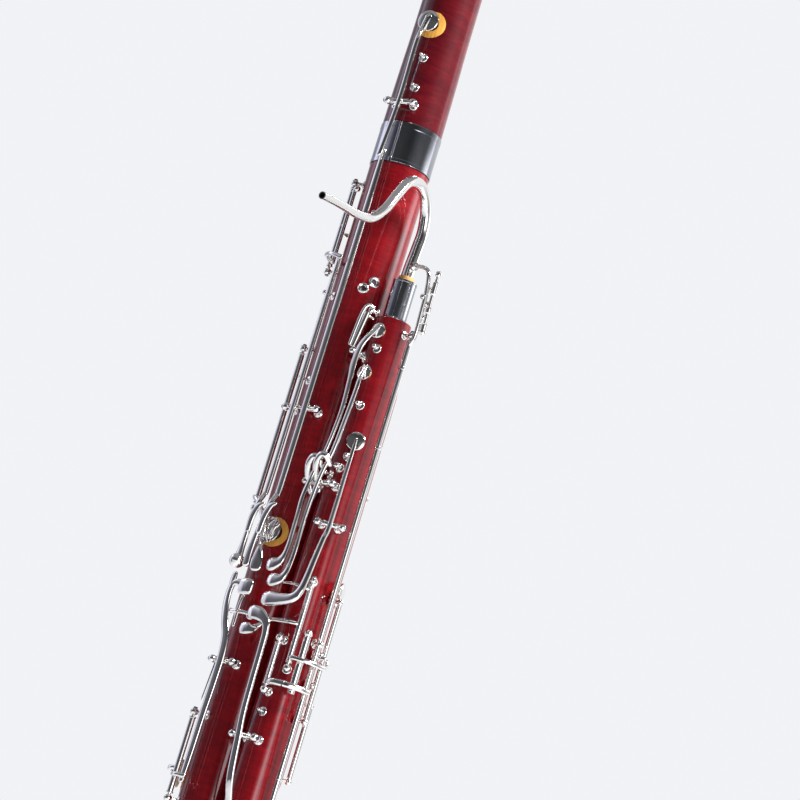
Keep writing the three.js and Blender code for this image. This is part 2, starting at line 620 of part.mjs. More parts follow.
// A boot key that rocks over a crosswise axle, closed until its touch is pressed.
function rockingBootKey(name, x, axleZ, padZ, touchZ) {
  const y = -(BOOT.halfDepth + 6.5);
  const heads = [V(x - 10, y, axleZ), V(x + 10, y, axleZ)];
  const seat = V(x, -(BOOT.halfDepth + SEAT), padZ);
  const lever = bar([
    V(x, y - 5.4, touchZ), V(x, y - 2.4, axleZ + (touchZ - axleZ) * 0.4), V(x, y - 2.4, axleZ),
    seat.clone().add(V(0, -2.4, 0)),
  ]);
  addPart(`${name}_axle`, axle('boot', ...heads), silver);
  const limbs = [lever, cup(seat, V(0, -1, 0), 8), touch(V(x, y - 6, touchZ), 15, 18)];
  addPart(`${name}_key`, key(...heads, [3.8, 16.2], ...limbs), silver);
}

function makeBootKeys() {
  boundBootKey('low_e_pancake', -1, -1, [262, 330], { x: -13, z: 296, radius: 13 });
  boundBootKey('g', 1, 1, [222, 290], { x: 12, z: 256, radius: 10.5 }, { x: 0, z: 284 });
  boundBootKey('low_f', -1, 1, [120, 200], { x: -13, z: 150, radius: 13 }, { x: 4, z: 184 });
  rockingBootKey('thumb_b_flat', 10, 352, 384, 326);
  rockingBootKey('thumb_f_sharp', 14, 236, 204, 264);
}

makeBell();
makeLongJoint();
makeWingJoint();
makeBocal();
makeBoot();
makeReturnBend();
makeFittings();
makeLowBFlat();
makeLongLevers();
makeLowB();
makeLowC();
makeLowD();
makeLittleFingerKeys();
makeHighKeys();
makeHighA();
makeThumbCSharp();
makeWhisper();
makeTrill();
makeBootKeys();

export default bassoon;
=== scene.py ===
"""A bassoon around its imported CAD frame: turned maple tubes, silver-plated keys, bocal and fittings.

Sizes are millimetres in the CAD frame, with +Z up the bores and the thumb keys at -Y. build() turns
them into metres.
"""

import math

import bpy
from mathutils import Matrix, Vector


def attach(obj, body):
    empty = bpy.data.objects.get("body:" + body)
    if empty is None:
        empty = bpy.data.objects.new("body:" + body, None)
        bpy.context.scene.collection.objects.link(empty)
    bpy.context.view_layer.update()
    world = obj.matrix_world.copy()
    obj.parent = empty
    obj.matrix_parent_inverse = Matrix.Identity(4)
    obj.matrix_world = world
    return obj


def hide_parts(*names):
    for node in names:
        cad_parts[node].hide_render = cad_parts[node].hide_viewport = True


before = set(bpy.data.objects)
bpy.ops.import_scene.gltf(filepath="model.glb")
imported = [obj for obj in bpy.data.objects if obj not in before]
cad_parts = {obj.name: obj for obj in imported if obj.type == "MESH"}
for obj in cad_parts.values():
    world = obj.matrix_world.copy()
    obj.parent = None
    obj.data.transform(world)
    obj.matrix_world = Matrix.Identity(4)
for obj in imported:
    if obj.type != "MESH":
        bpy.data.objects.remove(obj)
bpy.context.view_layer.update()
scene = bpy.context.scene
MM = 0.001


def V(x, y, z):
    return Vector((x, y, z))


UP, FRONT, BACK = V(0, 0, 1), V(0, -1, 0), V(0, 1, 0)


# ---- camera

# The picture is taken from low on the thumb side, with the instrument leaning to the right.
CAMERA = {"azimuth": 41.79, "rise": 13.91, "roll": 16.7, "distance": 2046.5, "aim": (29.1, 18.7, 844.0)}


def make_camera():
    azimuth, rise, roll = (math.radians(CAMERA[k]) for k in ("azimuth", "rise", "roll"))
    flat = V(-math.sin(azimuth), math.cos(azimuth), 0)
    forward = flat * math.cos(rise) + V(0, 0, math.sin(rise))
    level = V(math.cos(azimuth), math.sin(azimuth), 0)
    upright = level.cross(forward)
    right = level * math.cos(roll) + upright * math.sin(roll)
    up = upright * math.cos(roll) - level * math.sin(roll)
    data = bpy.data.cameras.new("camera")
    data.sensor_width = 36
    data.lens = 130
    data.clip_end = 30
    camera = bpy.data.objects.new("camera", data)
    camera.rotation_mode = "QUATERNION"
    camera.rotation_quaternion = Matrix((right, up, -forward)).transposed().to_quaternion()
    camera.location = (Vector(CAMERA["aim"]) - forward * CAMERA["distance"]) * MM
    scene.collection.objects.link(camera)
    scene.camera = camera


make_camera()

# ---- materials


def feed(tree, socket, value):
    """Links a socket to an output, or sets its value."""
    if isinstance(value, bpy.types.NodeSocket):
        tree.links.new(value, socket)
    else:
        socket.default_value = value


class Nodes:
    """Wires one material's nodes."""

    def __init__(self, name):
        self.material = bpy.data.materials.new(name)
        self.material.use_nodes = True
        self.tree = self.material.node_tree
        self.shader = self.tree.nodes["Principled BSDF"]
        self.place = self.add("ShaderNodeTexCoord").outputs["Object"]

    def add(self, kind, **inputs):
        node = self.tree.nodes.new(kind)
        for key, value in inputs.items():
            feed(self.tree, node.inputs[key.replace("_", " ")], value)
        return node

    def noise(self, scale, detail, roughness=0.55, distortion=0.0):
        """Noise with its own scale along X, Y and Z."""
        place = self.add("ShaderNodeMapping", Vector=self.place, Scale=scale).outputs["Vector"]
        node = self.add("ShaderNodeTexNoise", Vector=place, Scale=1.0, Detail=detail,
                        Roughness=roughness, Distortion=distortion)
        return node.outputs["Fac"]

    def ramp(self, factor, *stops):
        node = self.add("ShaderNodeValToRGB", Fac=factor)
        elements = node.color_ramp.elements
        while len(elements) < len(stops):
            elements.new(0.5)
        for element, (place, colour) in zip(elements, stops):
            element.position = place
            element.color = (*colour, 1)
        return node.outputs["Color"]

    def span(self, factor, low, high):
        node = self.add("ShaderNodeMapRange", Value=factor)
        node.inputs["To Min"].default_value = low
        node.inputs["To Max"].default_value = high
        return node.outputs["Result"]

    def mix(self, factor, first, second, blend="MIX"):
        node = self.tree.nodes.new("ShaderNodeMix")
        node.data_type = "RGBA"
        node.blend_type = blend
        for key, value in ((0, factor), (6, first), (7, second)):
            feed(self.tree, node.inputs[key], value)
        return node.outputs[2]

    def bump(self, height, strength, distance):
        node = self.add("ShaderNodeBump", Height=height, Strength=strength, Distance=distance)
        self.tree.links.new(node.outputs["Normal"], self.shader.inputs["Normal"])

    def set(self, **inputs):
        for key, value in inputs.items():
            feed(self.tree, self.shader.inputs[key.replace("_", " ")], value)
        return self.material


def stained_maple(name, depth, curly):
    """Curly maple under crimson stain and a thick clear varnish: a lower depth gives a darker, browner red.
    """
    n = Nodes(name)
    fibre = n.noise((520, 520, 14), 4, 0.6)
    curl = n.noise((42, 42, 190), 4, 0.6, 1.2)
    cloud = n.noise((11, 11, 5), 3, 0.5)
    figure = n.mix(curly, fibre, curl)
    figure = n.mix(0.42, figure, cloud)
    stain = n.ramp(figure, (0.34, (0.105 * depth, 0.0022, 0.005)), (0.50, (0.225 * depth, 0.0036, 0.008)),
                   (0.66, (0.38 * depth, 0.007, 0.010)))
    n.bump(fibre, 0.05, 0.0002)
    return n.set(Base_Color=stain, Roughness=n.span(curl, 0.40, 0.50), IOR=1.45, Coat_Weight=1.0,
                 Coat_Roughness=0.075, Coat_IOR=1.5, Specular_IOR_Level=0.04)


def grained(name, scale, detail, tones, roughness, bump=None, **more):
    """A material whose tone and roughness follow one noise: detail is (octaves, roughness)."""
    n = Nodes(name)
    grain = n.noise(scale, *detail)
    tone = n.ramp(grain, *tones)
    if bump:
        n.bump(grain, *bump)
    return n.set(Base_Color=tone, Roughness=n.span(grain, *roughness), **more)


def plated_silver():
    """Polished silver plate with faint handling marks and a little tarnish."""
    n = Nodes("plated_silver")
    marks = n.noise((900, 900, 900), 4, 0.6)
    haze = n.noise((60, 60, 60), 3, 0.5)
    tone = n.ramp(haze, (0.3, (0.88, 0.86, 0.82)), (0.7, (0.97, 0.96, 0.94)))
    n.bump(marks, 0.04, 0.00005)
    return n.set(Base_Color=tone, Metallic=1.0, Roughness=n.span(haze, 0.05, 0.13))


def dark_nickel():
    """Nickel plate of the ferrule and the bocal socket: a mirror whose base colour is darkened, a painted
    dark reflection of the surroundings.
    """
    n = Nodes("dark_nickel")
    marks = n.noise((1200, 1200, 40), 4, 0.6)
    haze = n.noise((90, 90, 40), 3, 0.5)
    # painted dark reflection: the base tone is kept low
    tone = n.ramp(haze, (0.3, (0.36, 0.375, 0.41)), (0.7, (0.50, 0.515, 0.55)))
    n.bump(marks, 0.05, 0.00005)
    return n.set(Base_Color=tone, Metallic=1.0, Roughness=n.span(marks, 0.06, 0.14))


def cork():
    """Waxed cork with its dark pores."""
    n = Nodes("cork")
    grain = n.noise((900, 900, 900), 5, 0.7)
    pores = n.noise((260, 260, 260), 2, 0.5)
    tone = n.ramp(grain, (0.3, (0.47, 0.22, 0.06)), (0.7, (0.80, 0.48, 0.17)))
    pore = n.ramp(pores, (0.30, (0.35, 0.25, 0.18)), (0.42, (1.0, 1.0, 1.0)))
    n.bump(pores, 0.35, 0.0004)
    return n.set(Base_Color=n.mix(1.0, tone, pore, "MULTIPLY"), Roughness=n.span(grain, 0.6, 0.85))


FINISHES = {
    "wood": stained_maple("stained_maple", 0.88, 0.62),
    # the bell's copy is much darker and the wing's a little darker than the long joint's
    "bell_wood": stained_maple("bell_maple", 0.44, 0.9),
    "wing_wood": stained_maple("wing_maple", 0.8, 0.62),
    # unstained maple at the spot faces of the tone holes
    "amber": grained("raw_maple", (700, 700, 60), (5, 0.6),
                     ((0.3, (0.62, 0.27, 0.035)), (0.7, (0.95, 0.52, 0.10))), (0.3, 0.5),
                     Coat_Weight=0.5, Coat_Roughness=0.15),
    "silver": plated_silver(),
    # nickel plate, its colour darkened as a painted dark reflection
    "dark": dark_nickel(),
    # needle springs and screw heads
    "steel": grained("blued_steel", (300, 300, 300), (3, 0.5),
                     ((0.3, (0.10, 0.11, 0.14)), (0.7, (0.22, 0.24, 0.30))), (0.18, 0.3), Metallic=1.0),
    # pale kid leather of the pads
    "leather": grained("pad_leather", (1500, 1500, 1500), (5, 0.65),
                       ((0.3, (0.46, 0.36, 0.25)), (0.7, (0.66, 0.56, 0.42))), (0.55, 0.75), (0.3, 0.0002),
                       Sheen_Weight=0.2),
    "cork": cork(),
    # the bell ring's off-white polymer with faint growth lines
    "ivory": grained("ivory_polymer", (260, 260, 12), (4, 0.6),
                     ((0.35, (0.72, 0.66, 0.54)), (0.65, (0.83, 0.79, 0.69))), (0.24, 0.36), (0.06, 0.0001),
                     Coat_Weight=0.4, Coat_Roughness=0.1),
    "brass": grained("drawn_brass", (120, 120, 30), (4, 0.6),
                     ((0.3, (0.46, 0.30, 0.10)), (0.7, (0.72, 0.52, 0.22))), (0.2, 0.4), Metallic=1.0),
    # painted shade: the unlit inside of a bore and the bottoms of tone holes, coloured nearly black
    "hole": grained("bore_painted_shade", (200, 200, 30), (3, 0.5),
                    ((0.3, (0.010, 0.006, 0.006)), (0.7, (0.030, 0.016, 0.014))), (0.4, 0.6)),
}

# ---- mesh building


class Shape:
    """Skins gathered in millimetres, each face with its finish."""

    def __init__(self):
        self.points = []
        self.faces = []

    def skin(self, rings, finish):
        """Joins closed rings of points. A ring of one point is a tip."""
        starts = []
        for ring in rings:
            starts.append(len(self.points))
            self.points.extend(ring)
        for k in range(len(rings) - 1):
            a, b = starts[k], starts[k + 1]
            m, n = len(rings[k]), len(rings[k + 1])
            count = max(m, n)
            for i in range(count):
                j = (i + 1) % count
                if m == 1:
                    face = (a, b + j, b + i)
                elif n == 1:
                    face = (a + i, a + j, b)
                else:
                    face = (a + i, a + j, b + j, b + i)
                self.faces.append((face, finish))
        return self

    def turn(self, pivot, axis, degrees):
        """Turns everything so far about the line through pivot."""
        spin = Matrix.Rotation(math.radians(degrees), 3, axis)
        self.points = [spin @ (p - pivot) + pivot for p in self.points]
        return self


def across(way):
    """Two unit vectors square to way and to each other."""
    side = way.cross(UP if abs(way.z) < 0.9 else BACK).normalized()
    return side, way.cross(side).normalized()


def circle(centre, a, b, radius, count):
    """Points round centre, from a towards b."""
    turns = [2 * math.pi * i / count for i in range(count)]
    return [centre + (a * math.cos(t) + b * math.sin(t)) * radius for t in turns]


def turned(shape, origin, way, profile, segments=28, finish="silver"):
    """A lathe piece: (radius, height) pairs along way from origin. A pair may end with its own finish."""
    way = way.normalized()
    side, other = across(way)
    rings, finishes = [], []
    for radius, height, *own in profile:
        centre = origin + way * height
        if radius < 1e-6:
            rings.append([centre])
        else:
            rings.append(circle(centre, side, other, radius, segments))
        finishes.append(own[0] if own else finish)
    for k in range(len(rings) - 1):
        shape.skin(rings[k:k + 2], finishes[k + 1])
    return shape


def ball(shape, centre, radius, segments=18):
    """A silver ball, as a lathe piece."""
    steps = 9
    profile = [(radius * math.sin(math.pi * i / steps), -radius * math.cos(math.pi * i / steps))
               for i in range(steps + 1)]
    profile[0], profile[-1] = (0, -radius), (0, radius)
    return turned(shape, centre, UP, profile, segments)


def tube(shape, a, b, radius):
    """A straight silver rod or closed tube with small chamfers."""
    length = (b - a).length
    cut = 0.3
    profile = [(0, 0), (radius - cut, 0), (radius, cut), (radius, length - cut),
               (radius - cut, length), (0, length)]
    return turned(shape, a, b - a, profile, 20)


def through(rows, steps):
    """A smooth curve through rows of numbers, with steps to each span."""
    padded = [rows[0], *rows, rows[-1]]
    out = []
    for k in range(1, len(padded) - 2):
        p0, p1, p2, p3 = padded[k - 1:k + 3]
        for i in range(steps):
            t = i / steps
            out.append([
                0.5 * (2 * b + (c - a) * t + (2 * a - 5 * b + 4 * c - d) * t * t
                       + (3 * b - a - 3 * c + d) * t ** 3)
                for a, b, c, d in zip(p0, p1, p2, p3)
            ])
    out.append(rows[-1])
    return out


LEVER_SIDES, LEVER_STEPS = 16, 7
THINNEST = 0.3
ROUND_OFF = ((0.35, 0.94), (0.65, 0.77), (0.9, 0.46))  # how far past a lever's end, and how wide there


def lever(shape, rows, facing=FRONT, finish="silver", blunt=(1.0, 1.0), square=2.4):
    """A forged lever: rows of (x, y, z, half width, half thickness), its broad side towards facing.

    facing is a direction or a tube's x, which means out from that tube. blunt is how far each end
    runs past its last point, in half widths.
    """
    line = through(rows, LEVER_STEPS)
    points = [Vector(r[:3]) for r in line]
    turns = [2 * math.pi * i / LEVER_SIDES for i in range(LEVER_SIDES)]

    def ring(centre, tangent, out, wide, thick, scale=1.0):
        out = (out - tangent * out.dot(tangent)).normalized()
        side = tangent.cross(out).normalized()
        corners = []
        for t in turns:
            c, s = math.cos(t), math.sin(t)
            reach = (abs(c) ** square + abs(s) ** square) ** (-1 / square)
            corners.append(centre + (side * c * wide + out * s * thick) * reach * scale)
        return corners

    def outward(p):
        if isinstance(facing, (int, float)):
            return V(p.x - facing, p.y, 0).normalized()
        return facing

    rings = []
    last = len(points) - 1
    for i, p in enumerate(points):
        tangent = (points[min(i + 1, last)] - points[max(i - 1, 0)]).normalized()
        wide, thick = max(line[i][3], THINNEST), max(line[i][4], THINNEST)
        form = tangent, outward(p), wide, thick
        here = [ring(p, *form)]
        if i in (0, last):
            way = -1 if i == 0 else 1
            reach = blunt[0 if i == 0 else 1] * wide
            here += [ring(p + tangent * way * reach * far, *form, scale) for far, scale in ROUND_OFF]
            here.append([p + tangent * way * reach])
            here = here[::way]
        rings += here
    return shape.skin(rings, finish)


SHARP_EDGE = 38


def build(name, shape, replaces=(), body="instrument"):
    """Makes the Blender object of a shape, in metres, riding on a CAD body."""
    names = list(dict.fromkeys(finish for _, finish in shape.faces))
    mesh = bpy.data.meshes.new(name)
    mesh.from_pydata([p * MM for p in shape.points], [], [face for face, _ in shape.faces])
    for finish in names:
        mesh.materials.append(FINISHES[finish])
    mesh.polygons.foreach_set("material_index", [names.index(finish) for _, finish in shape.faces])
    mesh.polygons.foreach_set("use_smooth", [True] * len(mesh.polygons))
    mesh.update()
    mesh.set_sharp_from_angle(angle=math.radians(SHARP_EDGE))
    piece = bpy.data.objects.new(name, mesh)
    scene.collection.objects.link(piece)
    if replaces:
        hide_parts(*replaces)
    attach(piece, body)


def forge(key, shape):
    """Makes a key's object in place of its CAD node."""
    build(f"{key}_forged", shape, [key], key)


# ---- places on the instrument

LONG_X, WING_X = -18.5, 18.5
LONG_PROFILE = [(440.4, 19.4), (526, 20), (700, 20.8), (1011, 22.2)]
WING_PROFILE = [(440.4, 16.6), (700, 15.2), (895, 13.4)]
BELL_PROFILE = [
    (1043.4, 22.4), (1085, 22), (1125, 21.4), (1200, 21.3), (1250, 22.4), (1290, 24.8), (1315, 27.4),
    (1330, 28.6),
]
BOOT_HALF = 26.5
BOOT_TOP = 440
WING_TOP = 895
WHISPER_X = 39  # the long rod down the wing joint
BALL_RADIUS = 2.9
CLOSED = 0.4  # a closed pad above the wood


def radius_at(profile, z):
    for (z0, r0), (z1, r1) in zip(profile, profile[1:]):
        if z <= z1:
            share = min(max((z - z0) / (z1 - z0), 0), 1)
            return r0 + (r1 - r0) * share
    return profile[-1][1]


class Tube:
    """One of the turned tubes: places are degrees from -Y towards +X, distance out, sideways, height."""

    def __init__(self, x, profile):
        self.x, self.profile = x, profile

    def out(self, degrees):
        return V(math.sin(math.radians(degrees)), -math.cos(math.radians(degrees)), 0)

    def at(self, degrees, distance, sideways, z):
        out = self.out(degrees)
        return V(self.x, 0, z) + out * distance + V(-out.y, out.x, 0) * sideways

    def radius(self, z):
        return radius_at(self.profile, z)

    def foot(self, head):
        out = V(head.x - self.x, head.y, 0).normalized()
        return V(self.x, 0, head.z) + out * (self.radius(head.z) - 0.3), out


class BootTube(Tube):
    """The boot's rounded oblong."""

    def __init__(self):
        super().__init__(0, [(0, BOOT_HALF), (440, BOOT_HALF)])

    def foot(self, head):
        middle = V(min(max(head.x, LONG_X), WING_X), 0, head.z)
        out = (head - middle).normalized()
        return middle + out * (BOOT_HALF - 0.3), out


LONG, WING, BELL = Tube(LONG_X, LONG_PROFILE), Tube(WING_X, WING_PROFILE), Tube(LONG_X, BELL_PROFILE)
BOOT = BootTube()


def post(shape, where, head, ball_radius=BALL_RADIUS):
    """A turned post: flange on the wood, waisted neck and ball head."""
    foot, _ = where.foot(head)
    rise = (head - foot).length
    neck = min(1.5, ball_radius * 0.55)
    profile = [(0, 0), (3.2, 0), (3.3, 0.7), (2.9, 1.1), (neck + 0.3, 1.6), (neck, 2.4)]
    profile += [(neck, max(rise - ball_radius - 0.6, 2.5))]
    steps = 8
    start = math.asin(min(neck / ball_radius, 1))
    for i in range(steps + 1):
        angle = start + (math.pi - start) * i / steps
        profile.append((ball_radius * math.sin(angle) if i < steps else 0,
                        rise - ball_radius * math.cos(angle)))
    return turned(shape, foot, head - foot, profile, 20)


def axle(name, where, heads):
    """Two posts with the silver rod between them and a steel pivot screw in each."""
    shape = Shape()
    a, b = heads
    for head in heads:
        post(shape, where, head)
    tube(shape, a, b, 1.1)
    way = (b - a).normalized()
    for head, sign in ((a, -1), (b, 1)):
        start = head + way * sign * (BALL_RADIUS - 0.5)
        turned(shape, start, way * sign, [(1.5, 0), (1.5, 0.7), (1.2, 0.9), (0, 0.9)], 14, "steel")
    build(name, shape, [name])


def key(heads, start, end, radius=2.1):
    """Starts a key with its collared hinge tube, from start to end along the line from the first head."""
    a, b = heads
    way = (b - a).normalized()
    low, high = a + way * start, a + way * end
    length = end - start
    collar = min(1.3, length * 0.2)
    wide = radius + 0.4
    profile = [(1.2, 0), (radius + 0.3, 0), (wide, 0.3), (wide, collar - 0.3), (radius, collar),
               (radius, length - collar), (wide, length - collar + 0.3), (wide, length - 0.3),
               (radius + 0.3, length), (1.2, length)]
    return turned(Shape(), low, high - low, profile, 22)


def cup(shape, seat, out, radius, height=3):
    """A pad cup with its leather pad: flat side towards the wood, low stepped dome outside."""
    r, h = radius, height
    profile = [
        (0, 0, "leather"), (r - 1.6, 0, "leather"), (r - 0.7, 0.3, "leather"),
        (r - 0.6, 0.9, "leather"), (r - 0.1, 0.9), (r, 1.1), (r, h * 0.58), (r - 0.35, h * 0.68),
        (r * 0.86, h * 0.76), (r * 0.72, h * 0.85), (r * 0.45, h * 0.95), (r * 0.2, h * 0.99),
        (0, h),
    ]
    return turned(shape, seat, out, profile, 36)


def cup_on(shape, where, degrees, z, radius, height=3):
    out = where.out(degrees)
    return cup(shape, where.at(degrees, where.radius(z) + CLOSED, 0, z), out, radius, height)


def needle(shape, a, b):
    """A needle spring."""
    return turned(shape, a, b - a, [
        (0, 0), (0.45, 0), (0.35, (b - a).length * 0.9), (0, (b - a).length),
    ], 8, "steel")


def bent(shape, points, radius, **more):
    """A round wire or rod along points."""
    return lever(shape, [(*p, radius, radius) for p in points], square=2, **more)


# ---- wood


def spot_face(name, where, degrees, z, inner, outer, hole):
    """The raw wood round a tone hole, lying on the curve of the tube."""
    shape = Shape()
    radius = where.radius(z)

    def lying(r, turn, lift):
        along, up = r * math.cos(turn), r * math.sin(turn)
        angle = degrees + math.degrees(along / radius)
        return where.at(angle, where.radius(z + up) + lift, 0, z + up)

    count = 48
    turns = [2 * math.pi * i / count for i in range(count)]
    levels = [(outer, -0.2), (outer - 0.2, 0.25), (outer - 1.2, 0.34), (inner, 0.22)]
    shape.skin([[lying(r, t, lift) for t in turns] for r, lift in levels], "amber")
    if hole:
        levels = [(inner, 0.22), (hole + 0.6, 0.2), (hole, 0.12)]
        shape.skin([[lying(r, t, lift) for t in turns] for r, lift in levels], "amber")
        # painted shade: a near-black cone closes the tone hole just under the wood
        rim = [lying(hole, t, 0.12) for t in turns]
        shape.skin([rim, [where.at(degrees, radius + 0.1, 0, z)]], "hole")
    build(name, shape)


def grow(profile, step):
    """The same profile with points added, so that a long tube has even faces."""
    out = []
    for (z0, r0), (z1, r1) in zip(profile, profile[1:]):
        count = max(1, round((z1 - z0) / step))
        out += [(z0 + (z1 - z0) * i / count, r0 + (r1 - r0) * i / count) for i in range(count)]
    return out + [profile[-1]]


def wood_tube(name, x, outside, inside, replaces, finish="wood"):
    """An open turned tube: outside and inside are (height, radius) from the bottom up."""
    shape = Shape()
    # painted shade: the inside of the bore takes the near-black finish
    profile = [(r, z) for z, r in outside] + [(r, z, "hole") for z, r in reversed(inside)]
    profile.append((outside[0][1], outside[0][0]))
    turned(shape, V(x, 0, 0), UP, profile, 96, finish)
    build(name, shape, replaces)


def make_wood():
    bell = through(BELL_PROFILE, 8)
    outside = [(1011.6, 20.4), (1043.2, 20.4), (1043.35, 22.1)] + [(z, r) for z, r in bell]
    inside = [(1011.6, 19.3), (1038, 19.3), (1038.4, 16.2), (1200, 17.5), (1290, 19), (1330, 20.5)]
    wood_tube("bell_wood_turned", LONG_X, outside, inside, ["bell_wood"], "bell_wood")
    outside = [(405, 15.2), (440, 15.2), (440.4, 19.1), (440.9, 19.4)] + grow(LONG_PROFILE, 60)[1:]
    outside += [(1011.1, 21.9), (1011.1, 17.6), (1036, 17.6)]
    wood_tube("long_joint_wood_turned", LONG_X, outside, [(405, 12.5), (1036, 15)], ["long_joint_wood"])


WING_FLAT = [(470, 16.6), (560, 14.6), (620, 13.4), (700, 13.05), (893, 13.35), (895, 13.6)]


def make_wing():
    """The wing joint: a round tube with a planed side and the thick finger flange behind it."""
    shape = Shape()
    count = 120
    heights = [405, 440, 440.35, 441, 470, 500, 525, 540, 548, 560, 590, 620, 660, 700, 740, 780,
               815, 828, 845, 870, 885, 893, 894.6, WING_TOP]

    def section(z):
        radius = 11 if z < 440.3 else WING.radius(z) - (0.35 if z in (440.35, WING_TOP) else 0)
        swell = min(max((z - 525) / 40, 0), 1) * min(max((893 - z) / 40, 0), 1)
        swell = swell * swell * (3 - 2 * swell)
        flat = radius_at(WING_FLAT, z)
        ring = []
        for i in range(count):
            t = 2 * math.pi * i / count
            x, y = radius * math.sin(t), -radius * math.cos(t)
            if y > 0 and z > 441:
                wide = min(1, abs(x) / 9.5)
                y = max(y, y + swell * (23.5 - radius) * (1 - wide ** 3.2) * min(1, y / (radius * 0.6)))
            ring.append(V(WING_X + min(x, flat), y, z))
        return ring

    shape.skin([section(z) for z in heights], "wing_wood")
    bore = [V(WING_X, 0, WING_TOP)]
    lip = [bore[0] + V(4.2 * math.sin(2 * math.pi * i / count), -4.2 * math.cos(2 * math.pi * i / count), 0)
           for i in range(count)]
    shape.skin([section(WING_TOP), lip], "wing_wood")
    # painted shade: the bore shows near-black and is closed by a dark floor 60 mm down
    floor = [p - V(0, 0, 60) for p in lip]
    shape.skin([lip, floor, [bore[0] - V(0, 0, 60)]], "hole")
    build("wing_joint_wood_turned", shape, ["wing_joint_wood"])
    holes = Shape()
    # painted shade: each liner's bottom is a near-black disc
    for z in (610, 690, 770):
        turned(holes, V(WING_X + 0.5, 21.6, z), V(0, 1, 0.1), [
            (0, 0.2, "hole"), (3.1, 0.2, "hole"), (3.3, 1.9, "silver"), (3.9, 2.2, "silver"),
            (4.6, 1.9, "silver"), (4.7, 0, "silver"),
        ], 28)
    build("finger_hole_liners", holes)


def oblong(radius, z, count=28):
    """A rounded oblong round both bores."""
    ring = []
    for middle, start in ((WING_X, -90), (LONG_X, 90)):
        for i in range(count + 1):
            t = math.radians(start + 180 * i / count)
            ring.append(V(middle + radius * math.cos(t), radius * math.sin(t), z))
    return ring


def make_boot():
    shape = Shape()
    levels = [
        (50, 24.5), (71.8, 24.5), (71.9, 26.2), (72.3, 26.5), (200, 26.5), (300, 26.5),
        (413.3, 26.5), (413.7, 26.2), (413.7, 24.5), (440, 24.5),
    ]
    shape.skin([oblong(r, z) for z, r in levels], "wood")
    shape.skin([oblong(24.5, BOOT_TOP), oblong(20, BOOT_TOP), [V(0, 0, BOOT_TOP)]], "wood")
    build("boot_wood_shaped", shape, ["boot_wood"])
    # painted shade: the sockets' rims are near-black
    bores = Shape()
    for x, r in ((LONG_X, 16.6), (WING_X, 12.4)):
        turned(bores, V(x, 0, 440.1), UP, [(0, 0), (r, 0), (r + 0.6, 0.25), (r + 0.9, 0)], 48, "hole")
    build("boot_sockets", bores)

    top = Shape()
    band = [
        (413.9, 25.3), (414, 27.1), (414.6, 27.4), (416.8, 27.4), (417.4, 27), (418.2, 27),
        (436.4, 27), (437.2, 27), (437.8, 27.4), (439.4, 27.4), (440, 27), (440, 24.9),
    ]
    top.skin([oblong(r, z) for z, r in band], "silver")
    for side in (-1, 1):
        turned(top, V(side * 5.5, -26.8, 427), FRONT,
               [(3.2, 0), (3.2, 0.5), (2, 1), (1.9, 3), (2.3, 4), (1.9, 6.3), (0, 6.8)], 20)
    tube(top, V(-6.6, -31.5, 427), V(6.6, -31.5, 427), 1.1)
    build("boot_top_band", top, ["boot_top_ferrule"])
    low = Shape()
    band = [
        (50.3, 25.2), (50.3, 26.9), (51, 27.2), (53, 27.2), (53.6, 26.9), (68.6, 26.9),
        (69.2, 27.2), (71, 27.2), (71.5, 26.9), (71.5, 25.2),
    ]
    low.skin([oblong(r, z) for z, r in band], "silver")
    build("boot_bottom_band", low, ["boot_bottom_ferrule"])
    cap = Shape()
    shell = [
        (0, 23.8), (0.3, 24.9), (1.2, 25.9), (2.6, 26.4), (5, 26.5), (12, 26.5), (45.6, 26.5),
        (46.2, 26.9), (48.6, 26.9), (49.4, 26.5), (49.6, 25.4),
    ]
    cap.skin([[V(0, 0, 0)], oblong(18, 0)] + [oblong(r, z) for z, r in shell], "silver")
    build("boot_cap_spun", cap, ["boot_cap"])


def make_bands():
    ring = Shape()
    turned(ring, V(LONG_X, 0, 0), UP, [
        (20.7, 1330.4), (29, 1330.4), (29.6, 1331.2), (30.4, 1334), (30.6, 1337), (30.6, 1341),
        (30.2, 1343.3), (29.2, 1344.7), (28.2, 1345), (23.4, 1345), (22.4, 1344.5), (21.7, 1343),
        (21.2, 1338), (20.7, 1330.4),
    ], 96, "ivory")
    build("bell_ring_turned", ring, ["bell_ring"])
    band = Shape()
    turned(band, V(LONG_X, 0, 0), UP, [
        (21, 1011.4), (22.7, 1011.4), (22.9, 1011.8), (22.9, 1014), (22.75, 1014.3),
        (22.75, 1038.6), (22.9, 1039), (22.9, 1042.6), (22.7, 1043), (21, 1043),
    ], 96, "dark")
    build("bell_ferrule_turned", band, ["bell_ferrule"])
    sleeve = Shape()
    turned(sleeve, V(WING_X, 0, 0), UP, [
        (6.2, 895.4), (9.3, 895.4), (9.4, 896.2), (9, 897), (8.7, 897.4), (8.7, 924.2),
        (8.9, 924.6), (8.9, 925.6), (8.6, 926), (6.4, 926), (6.2, 925.4, "hole"),
        (6.2, 895.4, "hole"),
    ], 64, "dark")
    build("bocal_socket_turned", sleeve, ["bocal_socket"])


CROOK = [
    (0, 902), (0, 932), (-2, 951), (-3, 968), (4, 984), (20, 993), (38, 988), (50, 973), (61, 957),
    (76, 944), (96, 938), (122, 934), (149.9, 929),
]
CROOK_WAY = V(0.25, -0.968, 0)
CROOK_WIDE, CROOK_NARROW, CROOK_BORE = 4.95, 2.55, 0.74  # the two end radii, and the bore's share of them


